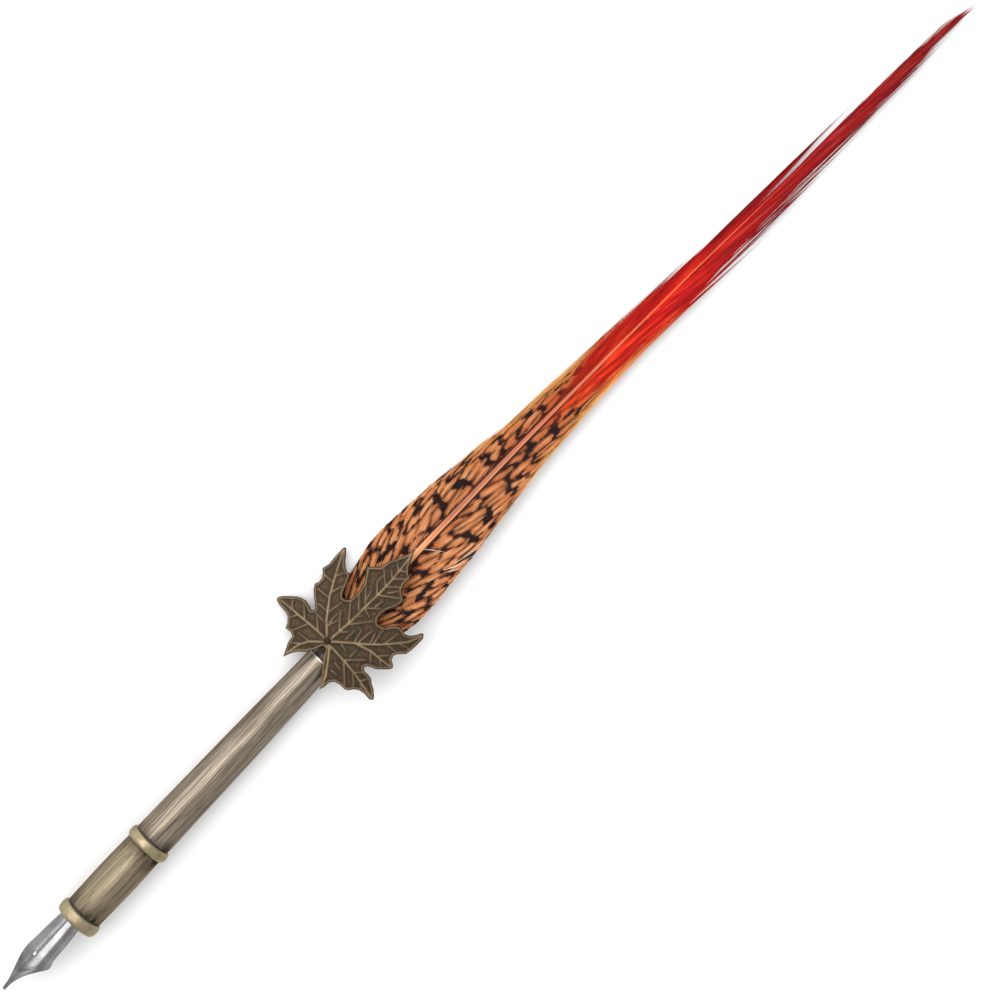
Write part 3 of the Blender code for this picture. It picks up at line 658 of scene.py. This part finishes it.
def leaf_points():
    """Even points inside the leaf's outline, and on it, as flat triangles."""
    outline = []
    for a, b in zip(LEAF_OUTLINE, LEAF_OUTLINE[1:] + LEAF_OUTLINE[:1]):
        a, b = np.array(a), np.array(b)
        n = max(1, int(np.linalg.norm(b - a) / RIM_STEP))
        outline += [a + (b - a) * k / n for k in range(n)]
    outline = np.array(outline)
    closed = np.vstack([outline, outline[:1]])
    gx, gy = np.meshgrid(np.arange(91.5, 128.5, LEAF_STEP), np.arange(-14.5, 16.7, LEAF_STEP))
    gx = gx + (np.arange(gx.shape[0]) % 2)[:, None] * LEAF_STEP / 2
    grid = np.column_stack([gx.ravel(), gy.ravel()])
    inside = np.zeros(len(grid), bool)
    x, y = grid[:, 0], grid[:, 1]
    for (x0, y0), (x1, y1) in zip(closed, closed[1:]):
        if y0 != y1:
            inside ^= ((y0 > y) != (y1 > y)) & (x < (x1 - x0) * (y - y0) / (y1 - y0) + x0)
    grid = grid[inside]
    grid = grid[segment_distance(grid, closed)[0] > RIM_STEP / 2]
    count = len(outline)
    edges = [(i, (i + 1) % count) for i in range(count)]
    points = [Vector(p) for p in np.vstack([outline, grid])]
    result = delaunay_2d_cdt(points, edges, [tuple(range(count))], 1, 1e-5)
    flat = np.array([tuple(v) for v in result[0]])
    return flat, [tuple(f) for f in result[2]], segment_distance(flat, closed)[0]


def leaf_bronze():
    m = Mat("leaf_bronze")
    grain = m.noise(m.mm(), 2.6, 5, 0.65)
    patch = m.noise(m.mm(), 0.35, 3, 0.5)
    fine = m.noise(m.mm(), 9, 3, 0.6)
    plate = m.mix(m.remap(patch, 0.4, 0.62), rgb(84, 68, 44), rgb(92, 62, 45))
    plate = m.mix(m.remap(grain, 0.35, 0.62, 0, 0.95), plate, rgb(42, 34, 25))
    bright = m.mix(m.remap(grain, 0.3, 0.7), rgb(162, 142, 108), rgb(104, 87, 62))
    wear = m.mul(m.read("worn"), m.remap(patch, 0.3, 0.7, 0.8, 1.1))
    wear = m.remap(m.add(wear, m.swing(grain, 1.1)), 0.35, 1.05)
    crevice = m.mul(m.read("crevice"), m.remap(grain, 0.3, 0.7, 0.5, 0.9))
    return m.set(
        Base_Color=m.mix(crevice, m.mix(wear, plate, bright), rgb(34, 27, 19)),
        Metallic=0.4,
        Specular_Tint=(0.6, 0.56, 0.5),
        Roughness=m.add(m.remap(wear, 0, 1, 0.55, 0.42), m.remap(fine, 0.3, 0.7, -0.05, 0.08)),
        Normal=m.bump(fine, 0.4, 0.05, m.bump(grain, 0.6, 0.18)),
    )


def build_leaf():
    flat, tris, rim = leaf_points()
    height, worn, halo = leaf_relief(flat, rim)
    soft = np.clip(rim / 0.3, 0, 1)
    roll_off = 0.2 * (1 - np.sqrt(np.clip(1 - (1 - soft) ** 2, 0, 1)))
    base = LEAF_BACK_Z - LEAF_CURL * (flat[:, 1] - LEAF_RIB_Y) ** 2
    wave = 0.05 * np.sin(flat[:, 0] * 0.9 + flat[:, 1] * 0.4) * np.clip(rim / 1.5, 0, 1)
    top = base + LEAF_THICK - 0.12 + height + wave - roll_off
    verts = [(p[0], p[1], z) for side in (top, base) for p, z in zip(flat, side)]
    n = len(flat)
    faces = tris + [tuple(n + i for i in reversed(f)) for f in tris]
    edges = {(a, b): None for f in tris for a, b in zip(f, f[1:] + f[:1])}
    faces += [(b, a, n + a, n + b) for a, b in edges if (b, a) not in edges]
    leaf = piece("leaf_badge", verts, faces, "holder", leaf_bronze(), 60)
    tag(leaf, "worn", np.concatenate([worn, np.zeros(n)]))
    tag(leaf, "crevice", np.concatenate([halo, np.zeros(n)]))
    stand_for(leaf, "leaf")


def build_rivet():
    dark = grained("rivet_bronze", (1, 1, 1), 3, 4, (rgb(34, 26, 18), rgb(62, 50, 36)),
                   (0.5, 0.7), (0.3, 0.06), (0.35, 0.65), 0.9)
    seat = LEAF_BACK_Z + LEAF_THICK - 0.38
    head = [(0.82 * math.sin(a), 0.12 + 0.38 * math.cos(a)) for a in np.linspace(0.15, math.pi / 2, 9)]
    shank = [(0.86, 0), (0.5, -0.1), (0.5, -1.9), (0.02, -1.9)]
    section = [(0.02, 0.5), *head, *shank]
    sides = 32
    verts = []
    for r, h in section:
        verts += [(RIVET[0] + r * math.cos(a), RIVET[1] + r * math.sin(a), seat + h) for a in circle(sides)]
    faces = [quad[::-1] for quad in ring_faces(len(section), sides)]
    stand_for(piece("rivet_head", verts, faces, "holder", dark), "leaf_rivet")
    dress("leaf_saddle", dark)


# -------- feather
SHAFT_Y = (
    (86.5, 0), (103.2, 0), (111, 0.55), (120, 0.9), (130, 0.98), (140, 0.9), (150, 0.82), (160, 0.7),
    (170, 0.48), (180, 0.2), (190, -0.05), (200, -0.4), (210, -0.72), (220, -1.15), (230, -1.65),
    (245, -2.3), (260, -3), (280, -4.3), (293.4, -5.45),
)
SHAFT_Z = (
    (86.5, 0), (103.2, 0), (111, 0.6), (120, 1.2), (135, 1.4), (150, 1.45), (170, 1.5), (190, 1.6),
    (210, 1.75), (235, 2), (260, 2.3), (280, 2.6), (293.4, 2.9),
)
SHAFT_R = (
    (86.5, 1.45), (103.2, 1.5), (111, 1.15), (120, 0.98), (130, 0.9), (140, 0.84), (150, 0.77), (160, 0.69),
    (170, 0.58), (180, 0.44), (190, 0.33), (200, 0.25), (210, 0.2), (225, 0.14), (240, 0.09), (293.4, 0.05),
)
LEFT_EDGE = (
    (103, 3), (108, 6.3), (112, 7.6), (116, 8.5), (120, 9.3), (125, 9.8), (130, 9.5), (135, 9.2),
    (140, 8.7), (145, 8), (150, 7.4), (155, 6.6), (160, 5.9), (165, 5), (170, 4.5), (175, 4.05), (180, 3.7),
    (190, 3.4), (200, 2.8), (210, 1.9), (220, 1), (230, 0.5), (247, -0.15), (263.5, -0.9),
)
LEFT_MAIN = (
    (210, 1.9), (222, 1), (230, 0.2), (235, -0.7), (240, -1.25), (250, -1.6), (260, -2), (270, -2.4),
    (280, -2.75), (285, -3), (288, -3.7), (291, -4.8), (293.6, -5.4),
)
RIGHT_EDGE = (
    (103, -3.2), (108, -6.8), (112, -8.4), (116, -9.15), (120, -9.3), (125, -9), (130, -8.5), (135, -8.2),
    (140, -7.7), (145, -7.15), (150, -6.7), (155, -6.2), (160, -5.75), (165, -5.3), (170, -4.7),
    (175, -4.35), (180, -4.15), (190, -4.3), (200, -4.7), (210, -5.2), (218, -5), (230, -4.75), (240, -4.8),
    (250, -5.1), (260, -5.3), (270, -5.5), (280, -5.5), (288, -5.5), (293.6, -5.6),
)
REACH = (
    (98, 14), (103, 20), (110, 27), (120, 32), (135, 35), (150, 36), (175, 40), (205, 42), (235, 36),
    (262, 24), (280, 12), (290, 3.2),
)
DROOP = 0.35
# barbs: values at stations of the barb's root
BARB_ROOTS = (99, 290)
SHAFT_END = 293.4
BARB_PITCH = 0.17
BARB_POINTS = 15
BARB_WIDTH = ((240, 0.27), (272, 0.2))
BARB_TAPER = ((180, 0.12), (210, 0.3), (240, 0.35), (268, 0.6))
BARB_BOW = ((100, 1.45), (150, 1.25), (190, 1))
BARB_RIDGE = ((-1, -0.018), (0, 0.012), (1, 0.018))  # side and lift of a barb's three lines of points
SPREAD = ((108, 0.006), (125, 0.035), (150, 0.08), (200, 0.12), (215, 0.1), (255, 0.06), (270, 0.16))
FRAY = ((104, 0), (118, 1), (250, 0.8))
CLUMP = 7  # barbs that keep together
LEFT_SPLIT = (218, 221)  # where the left vane stops and its last part starts
MEMBRANE_REACH = ((110, 0.96), (135, 0.9), (160, 0.86), (205, 0.84), (255, 0.84), (272, 0.5), (285, 0.3))
MEMBRANE_DROP = 0.08
BARB_STRETCH = 0.92  # how fast the pattern moves on from one barb to the next


def travelled(x, y):
    """Distance along a line of points."""
    return np.concatenate([[0], np.cumsum(np.hypot(np.diff(x), np.diff(y)))])


def vane_barbs(sign, mat, name):
    """One vane: overlapping barbs that sweep from the shaft to its edge, over a thin membrane."""
    verts, faces, barb = [], [], []
    rows, row_barb, runs = [], [], [0]
    clump, fray = 0.5, 0
    x_root, across = BARB_ROOTS[0], 0
    while x_root < BARB_ROOTS[1]:
        if sign > 0 and LEFT_SPLIT[0] < x_root < LEFT_SPLIT[1]:
            x_root += 0.5
            runs.append(len(rows))
            continue
        edge = RIGHT_EDGE if sign < 0 else LEFT_MAIN if x_root > LEFT_SPLIT[1] else LEFT_EDGE
        reach = at(REACH, x_root)
        middle = x_root + reach * 0.6
        width = abs(at(edge, middle) - at(SHAFT_Y, middle))
        slope = max(0.03, width / reach)
        power = 1 + 0.12 * min(1, max(0, (slope - 0.12) / 0.15))
        droop = DROOP * min(1, width / 5)
        bow = lerp(BARB_BOW, x_root)
        side_shift, lift, *_ = RNG.normal(0, 1, 4)
        w = np.linspace(0, 1, BARB_POINTS) ** 0.9

        low = w * lerp(MEMBRANE_REACH, x_root)
        x = np.minimum(x_root + reach * low**power, SHAFT_END)
        root_y = smooth(SHAFT_Y, x)
        y = root_y + (smooth(edge, x) - root_y) * (1 - (1 - low) ** bow)
        rows.append(np.column_stack([x, y, smooth(SHAFT_Z, x) - droop * low**2 - MEMBRANE_DROP]))
        along = travelled(x, y) + x_root * BARB_STRETCH
        row_barb.append(np.column_stack([along, np.full(BARB_POINTS, across), low]))

        if len(rows) % CLUMP == 1:
            clump = abs(RNG.normal(0, 0.9))
            fray = sign * RNG.uniform(-0.3, 0.22) * lerp(FRAY, x_root)
        end = 1 - lerp(SPREAD, x_root) * (0.6 * abs(RNG.normal(0, 1)) + clump)
        w = w * end
        x = np.minimum(x_root + reach * w**power, 293.5)
        root_y = smooth(SHAFT_Y, x) + sign * smooth(SHAFT_R, x) * 0.6
        y = root_y + (smooth(edge, x) - root_y) * (1 - (1 - w) ** bow) + side_shift * 0.05 * w + fray * w**4
        z = smooth(SHAFT_Z, x) - droop * w**2 + lift * 0.014 * w + 0.04
        direction = np.column_stack([np.gradient(x), np.gradient(y)])
        direction /= np.linalg.norm(direction, axis=1)[:, None]
        normal = np.column_stack([-direction[:, 1], direction[:, 0]]) * sign
        thin = np.clip((1 - w / end) / lerp(BARB_TAPER, x_root), 0.85 if x_root < 122 else 0.3, 1)
        half = lerp(BARB_WIDTH, x_root) / 2 * thin * (1 + 0.9 * np.exp(-w / 0.08))
        along = travelled(x, y) + x_root * BARB_STRETCH
        base = len(verts)
        for i in range(BARB_POINTS):
            for k, rise in BARB_RIDGE:
                shift = half[i] * k
                verts.append((x[i] + normal[i, 0] * shift, y[i] + normal[i, 1] * shift, z[i] + rise))
                barb.append((along[i], across + k * half[i], w[i]))
        for i in range(BARB_POINTS - 1):
            for k in range(2):
                a = base + i * 3 + k
                faces.append((a, a + 3, a + 4, a + 1)[::sign])
        x_root += BARB_PITCH / slope
        across += BARB_PITCH

    base = len(verts)
    for row, data in zip(rows, row_barb):
        verts += [tuple(v) for v in row]
        barb += [tuple(d) for d in data]
    runs.append(len(rows))
    for first, last in zip(runs, runs[1:]):
        for r in range(first, last - 1):
            for i in range(BARB_POINTS - 1):
                a = base + r * BARB_POINTS + i
                faces.append((a, a + 1, a + BARB_POINTS + 1, a + BARB_POINTS)[::-sign])
    ob = piece(name, verts, faces, "holder", mat)
    tag(ob, "barb", barb)
    return ob


def mottling(m, barb, x, wobble, hair, patches):
    """Tan cells between dark lines that run with the barbs, and painted shade on the barbs beside the shaft:
    the pattern, and where its lines are dark.
    """
    along, across, share = m.split(barb)
    jag = m.noise(m.mm(0.02, 5.5, 0, barb), detail=1)
    run = m.add(m.add(along, m.swing(jag, 2)), m.mul(wobble, 1.5))
    rise = m.add(across, m.swing(wobble, 0.5))
    shifted = m.node("ShaderNodeCombineXYZ", {"X": m.mul(run, 0.147), "Y": m.mul(rise, 1.02)})
    cells = m.node(
        "ShaderNodeTexVoronoi",
        {"Vector": shifted.outputs[0], "Scale": 1, "Randomness": 0.78},
        feature="DISTANCE_TO_EDGE",
        voronoi_dimensions="2D",
    )
    limit = m.add(m.remap(patches, 0.34, 0.68, 0.06, 0.235), m.remap(x, 140, 165, 0, 0.02))
    sparse = m.mul(m.remap(share, 0.66, 0.92, 0, 0.13), m.remap(x, 144, 158))
    limit = m.sub(limit, sparse)
    ragged = m.noise(m.mm(0.35, 2.2, 0, barb), 1, 3, 0.6)
    edge = m.add(m.sub(cells.outputs["Distance"], limit), m.remap(ragged, 0.2, 0.8, 0.2, -0.2))
    edge = m.add(edge, m.remap(hair, 0.2, 0.8, 0.06, -0.06))
    dark = m.remap(edge, -0.02, 0.025, 1, 0)
    thread = m.noise(m.mm(0.16, 3.6, 0, barb), 1, 3, 0.6)
    tan = m.mix(m.remap(hair, 0.36, 0.64), rgb(168, 94, 48), rgb(214, 142, 88))
    tan = m.mix(m.remap(thread, 0.52, 0.68, 0, 0.7), tan, rgb(244, 196, 152))
    tan = m.mix(m.remap(thread, 0.47, 0.34, 0, 0.6), tan, rgb(126, 58, 30))
    ruddy = m.mix(hair, rgb(138, 56, 30), rgb(176, 88, 50))
    tan = m.mix(m.mul(m.remap(share, 0, 0.3, 0.7, 0), m.remap(patches, 0.35, 0.6)), tan, ruddy)
    brown = m.mix(hair, rgb(154, 64, 28), rgb(186, 100, 48))
    tan = m.mix(m.remap(x, 146, 174, 0, 0.8), tan, brown)
    pattern = m.mix(dark, tan, m.mix(hair, rgb(16, 7, 7), rgb(40, 18, 16)))
    # painted shade: the barbs darken to deep brown in their first stretch beside the shaft, fully up to x
    # 172 and fading out by x 192
    root = m.math("DIVIDE", share, m.remap(x, 140, 165, 0.05, 0.12))
    root = m.mul(m.remap(root, 0.4, 1, 0.85, 0), m.remap(x, 192, 172))
    return m.mix(root, pattern, rgb(56, 18, 10)), dark


def dye(m, barb, x, upper, dark, streak):
    """Red dye that darkens towards the tip, streaked along the barbs."""
    share = m.split(barb)[2]
    red = m.node("ShaderNodeValToRGB", {"Fac": m.remap(x, 165, 295)})
    first, last = red.color_ramp.elements
    first.color = (*rgb(214, 84, 24), 1)
    last.color = (*rgb(132, 6, 10), 1)
    for place, colour in ((0.12, (226, 48, 14)), (0.27, (204, 20, 16)), (0.5, (160, 8, 10))):
        red.color_ramp.elements.new(place).color = (*rgb(*colour), 1)
    deep = m.tint(red.outputs[0], (0.36, 0.16, 0.22))
    dyed = m.mix(m.remap(streak, 0.4, 0.56), deep, red.outputs[0])
    dyed = m.mix(m.mul(upper, m.remap(share, 0, 0.9, 0.88, 0.35)), dyed, deep)
    glow = m.mul(m.remap(streak, 0.55, 0.7, 0, 0.75), m.remap(x, 226, 196))
    glow = m.mul(glow, m.sub(1, m.mul(upper, 0.6)))
    dyed = m.mix(glow, dyed, rgb(236, 96, 30))
    dyed = m.mix(m.mul(dark, m.remap(x, 190, 168, 0, 0.75)), dyed, rgb(64, 16, 12))
    threads = m.noise(m.mm(0.05, 2.6, 0, barb), 1, 3, 0.6)
    pale = m.mul(m.remap(threads, 0.55, 0.68, 0, 0.5), m.remap(x, 205, 240))
    dyed = m.mix(pale, dyed, rgb(206, 92, 84))
    sunk = m.mul(m.remap(threads, 0.46, 0.34, 0, 0.75), m.remap(x, 185, 230))
    dyed = m.mix(sunk, dyed, rgb(84, 4, 12))
    wine = m.mul(m.remap(share, 0.7, 1), m.remap(x, 200, 216))
    return m.mix(m.mul(wine, m.remap(streak, 0.35, 0.6, 0.9, 0.3)), dyed, rgb(96, 6, 22))


def feather_material():
    m = Mat("feather_barbs")
    barb = m.read("barb", "Vector")
    share = m.split(barb)[2]
    x, y, _ = m.split(m.mm())
    upper = m.remap(y, 0, 0.9)
    wobble = m.noise(m.mm(0.14, 0.35, 0, barb), detail=2)
    hair = m.noise(m.mm(0.3, 7, 0, barb), 1, 2)
    patches = m.noise(m.mm(0.22, 0.6, 0, barb), 1, 2, 0.5)
    streak = m.noise(m.mm(0.06, 1.7, 0, barb), 1, 5, 0.75)
    pattern, dark = mottling(m, barb, x, wobble, hair, patches)
    dyed = dye(m, barb, x, upper, dark, streak)
    start = m.mix(upper, m.remap(share, 0, 0.7, 164, 179), m.remap(share, 0, 0.9, 171, 183))
    start = m.add(start, m.remap(wobble, 0.3, 0.7, -4, 4))
    colour = m.mix(m.remap(m.sub(x, start), -5, 5, smoothed=True), pattern, dyed)
    # pale, thin ends
    ends = m.add(share, m.swing(streak, 0.5))
    gold = m.mul(m.remap(ends, 0.68, 0.98), m.mul(m.remap(x, 148, 162), m.remap(x, 205, 180)))
    gold = m.mul(gold, m.remap(m.mul(upper, x), 170, 186, 1, 0.25))
    gold = m.mul(gold, m.remap(patches, 0.4, 0.6, 0.3, 0.95))
    colour = m.mix(gold, colour, rgb(255, 196, 112))
    down = m.mul(m.remap(share, 0.98, 1.12), m.remap(x, 186, 176))
    colour = m.mix(m.mul(down, 0.9), colour, rgb(246, 216, 156))
    return m.set(
        Base_Color=m.tint(colour, (0.89, 0.87, 0.87)),
        Specular_IOR_Level=0.1,
        Roughness=m.remap(hair, 0.2, 0.8, 0.55, 0.75),
        Normal=m.bump(hair, 0.3, 0.04),
    )


def strands(mat, name, specs, lift=0):
    """Loose strands: each from a point on the vane to a free tip, thin and tapered."""
    verts, faces, barb = [], [], []
    n = 18
    t = np.linspace(0, 1, n)
    for (x0, y0), (x1, y1), bow, thick in specs:
        x = x0 + (x1 - x0) * t
        y = y0 + (y1 - y0) * t + bow * np.sin(math.pi * t)
        z = smooth(SHAFT_Z, np.minimum(x, SHAFT_END)) - 0.15 * t + RNG.normal(0, 0.05) + lift * (1 - 0.5 * t)
        half = thick / 2 * np.clip((1 - t) / 0.5, 0.1, 1)
        length = math.hypot(x1 - x0, y1 - y0)
        side = np.array([-(y1 - y0), x1 - x0]) / length
        seed = float(RNG.uniform(0, 60))
        base = len(verts)
        for i in range(n):
            for k in (-1, 1):
                verts.append((x[i] + side[0] * half[i] * k, y[i] + side[1] * half[i] * k, z[i] + 0.02 * k))
                barb.append((x0 * 0.9 + length * t[i], seed + k * half[i], 0.7 + 0.55 * t[i]))
        for a in range(base, base + 2 * (n - 1), 2):
            faces.append((a, a + 2, a + 3, a + 1))
    ob = piece(name, verts, faces, "holder", mat)
    tag(ob, "barb", barb)
    return ob


# tips of the right vane's long free strands, and the stray down over it
FREE_TIPS = (
    (228, -7.1), (225, -6.7), (234, -6.4), (231, -6.1), (248, -6.6), (244, -6.2), (255, -6.3), (251, -5.9),
    (278, -6.3), (274, -6.1), (285, -6.1), (282, -5.9), (240, -6.2), (262, -5.9), (268, -6),
)
STRAY_DOWN = (
    ((127.7, 1.9), (132.4, -4.6), 0.35, 0.11), ((128.6, -5.6), (133.6, -8.1), -0.25, 0.11),
    ((129.6, -6.2), (136.2, -8.3), -0.3, 0.1), ((131.4, -6.4), (139.8, -8.1), -0.25, 0.1),
    ((133.6, -6.8), (143, -7.9), -0.2, 0.1), ((129, -6.6), (132, -8.3), -0.1, 0.1),
)


def loose_strands():
    """Strands of the left and the right vane, as start, tip, bow and thickness."""
    left, right = [], []
    for _ in range(26):
        tip = RNG.uniform(236, 263.5)
        start = (RNG.uniform(196, 215), RNG.uniform(0.3, 1.3))
        left.append((start, (tip, at(LEFT_EDGE, tip) - RNG.uniform(0, 0.35)), 0.15, 0.14))
    for tip, y in FREE_TIPS:
        for k in range(3):
            x0 = tip - RNG.uniform(26, 40)
            right.append(((x0, at(RIGHT_EDGE, x0) + 0.5), (tip - 2.5 * k, y + 0.18 * k), -0.12, 0.16))
    for _ in range(40):
        tip = RNG.uniform(180, 214)
        end = (tip, at(RIGHT_EDGE, tip) - RNG.uniform(-0.1, 0.45))
        right.append(((tip - 28, at(RIGHT_EDGE, tip - 28) + 0.6), end, -0.1, 0.12))
        tip = RNG.uniform(186, 214)
        end = (tip, at(LEFT_EDGE, tip) + RNG.uniform(-0.1, 0.5))
        left.append(((tip - 30, at(LEFT_EDGE, tip - 30) - 0.5), end, 0.1, 0.12))
    for _ in range(44):
        for edge, group, sign in ((RIGHT_EDGE, right, -1), (LEFT_EDGE, left, 1)):
            tip = RNG.uniform(142, 188)
            inside = at(edge, tip - 9) - sign * RNG.uniform(0.7, 1.3)
            outside = at(edge, tip) + sign * RNG.uniform(-0.2, 0.6)
            group.append(((tip - 9, inside), (tip, outside), sign * 0.05, 0.12))
    for _ in range(22):
        tip = RNG.uniform(284, 293.6)
        y = -5.4 + (293.6 - tip) * RNG.uniform(-0.06, 0.13)
        right.append(((tip - 22, at(SHAFT_Y, tip - 22) + RNG.uniform(-0.8, 0.6)), (tip, y), 0.1, 0.13))
    return left, right


def rachis_material():
    m = Mat("feather_rachis")
    x = m.split(m.mm())[0]
    y = m.split(m.read("round", "Vector"))[1]
    lines = m.noise(m.mm(0.04, 6, 6))
    flecks = m.noise(m.mm(0.5, 2, 2), detail=4)
    # painted light and shade across the shaft: paler along its -y edge, darker over the rest
    lit = m.mix(m.remap(y, -0.32, -0.08), rgb(208, 138, 102), rgb(152, 88, 54))
    lit = m.mix(m.remap(x, 138, 128), lit, rgb(214, 146, 92))
    warm = m.mix(m.remap(x, 150, 200), lit, rgb(206, 80, 36))
    warm = m.mix(m.remap(x, 218, 242), warm, rgb(158, 14, 14))
    colour = m.mix(m.remap(lines, 0.42, 0.65, 0, 0.45), warm, m.tint(warm, (0.66, 0.46, 0.38)))
    # painted shade: both sides of the shaft, where it meets the barbs, darken to deep brown, fully up to x
    # 175 and fading out by x 205
    rim = m.remap(m.add(m.math("ABSOLUTE", y), m.swing(lines, 0.3)), 0.58, 0.72)
    return m.set(
        Base_Color=m.mix(m.mul(rim, m.remap(x, 205, 175)), colour, rgb(48, 12, 6)),
        Specular_IOR_Level=0.35,
        Roughness=m.remap(flecks, 0.3, 0.7, 0.34, 0.55),
        Normal=m.bump(lines, 0.3, 0.04),
    )


def build_shaft():
    xs = np.concatenate([np.linspace(87, 103.2, 6), np.linspace(104, SHAFT_END, 150)])
    sides = 18
    verts, around = [], []
    for x in xs:
        y, z, r = (at(table, x) for table in (SHAFT_Y, SHAFT_Z, SHAFT_R))
        for a in circle(sides):
            height = 0.85 if math.sin(a) > 0 else 1.1
            verts.append((x, y + r * math.cos(a), z + r * height * math.sin(a)))
            around.append((x, math.cos(a), math.sin(a)))
    faces = ring_faces(len(xs), sides)
    last = (len(xs) - 1) * sides
    faces += [tuple(range(sides - 1, -1, -1)), tuple(range(last, last + sides))]
    shaft = piece("quill_shaft", verts, faces, "holder", rachis_material())
    tag(shaft, "round", around)
    stand_for(shaft, "feather_shaft")


def build_feather():
    barbs = feather_material()
    down = grained("stray_down", (0.6, 3, 3), 1, 2, (rgb(222, 186, 150), rgb(244, 226, 204)),
                   (0.5, 0.7), (0.2, 0.02))
    stand_for(vane_barbs(1, barbs, "barbs_left"), "vane_left")
    stand_for(vane_barbs(-1, barbs, "barbs_right"), "vane_right")
    left, right = loose_strands()
    strands(barbs, "strands_left", left, -0.12)
    strands(barbs, "strands_right", right, -0.12)
    strands(down, "stray_barbs", STRAY_DOWN, 0.7)
    build_shaft()


# -------- stage
PEN_MIDDLE = (147, 0, 0)
FLOOR_SIZE = 3
SKY = 0.83


def area_light(name, at, size, shape, power):
    """Soft light at a place in the pen's frame, aimed at the pen's middle."""
    data = bpy.data.lights.new(name, "AREA")
    data.shape = "RECTANGLE"
    data.size = size
    data.size_y = size * shape
    data.energy = power
    ob = add_object(name, data)
    ob.location = PEN @ (Vector(at) * MM)
    aim = PEN @ (Vector(PEN_MIDDLE) * MM) - ob.location
    ob.rotation_euler = aim.to_track_quat("-Z", "Y").to_euler()


def build_stage():
    white = Mat("floor_white")
    grain = white.noise(white.mm(0.02, 0.02, 0.02), 1, 2)
    white.set(Base_Color=white.mix(grain, (0.86, 0.86, 0.86), (0.9, 0.9, 0.9)), Roughness=0.9)
    mesh = bpy.data.meshes.new("floor")
    corners = ((-1, -1), (1, -1), (1, 1), (-1, 1))
    mesh.from_pydata([(x * FLOOR_SIZE, y * FLOOR_SIZE, 0) for x, y in corners], [], [(0, 1, 2, 3)])
    mesh.materials.append(white.mat)
    add_object("floor", mesh)
    world = bpy.data.worlds.new("studio")
    bpy.context.scene.world = world
    world.use_nodes = True
    back = world.node_tree.nodes["Background"]
    back.inputs["Color"].default_value = (1, 1, 1, 1)
    back.inputs["Strength"].default_value = SKY
    area_light("key", (147, 225, 600), 0.9, 0.45, 4.3)
    area_light("side", (147, 620, 250), 0.9, 0.4, 1.7)
    area_light("fill", (147, -440, 450), 0.9, 0.4, 0.35)


VIEW_TILT = math.radians(46.67)  # the pen's slope in the photo
VIEW_WIDTH = 207.5796  # what the photo's width shows of the pen's plane, in millimetres
VIEW_CENTRE = (146.83, -2.21)
VIEW_DISTANCE = 570
BARREL_TOP_Z = 3.5
SENSOR_WIDTH = 36


def build_camera():
    """Camera that looks straight down on the leaf's face, as the photo does."""
    data = bpy.data.cameras.new("photo_view")
    data.sensor_fit = "HORIZONTAL"
    data.sensor_width = SENSOR_WIDTH
    data.lens = SENSOR_WIDTH * VIEW_DISTANCE / VIEW_WIDTH
    data.clip_start = 0.01
    data.clip_end = 20
    right = axis_x * math.cos(VIEW_TILT) - axis_y * math.sin(VIEW_TILT)
    up = axis_x * math.sin(VIEW_TILT) + axis_y * math.cos(VIEW_TILT)
    place = PEN @ (Vector((*VIEW_CENTRE, VIEW_DISTANCE + BARREL_TOP_Z)) * MM)
    camera = add_object("photo_view", data)
    camera.matrix_world = frame_matrix(right, up, axis_z, place)
    bpy.context.scene.camera = camera
    bpy.context.scene.view_settings.view_transform = "Standard"


build_holder()
build_nib()
build_leaf()
build_rivet()
build_feather()
build_stage()
build_camera()
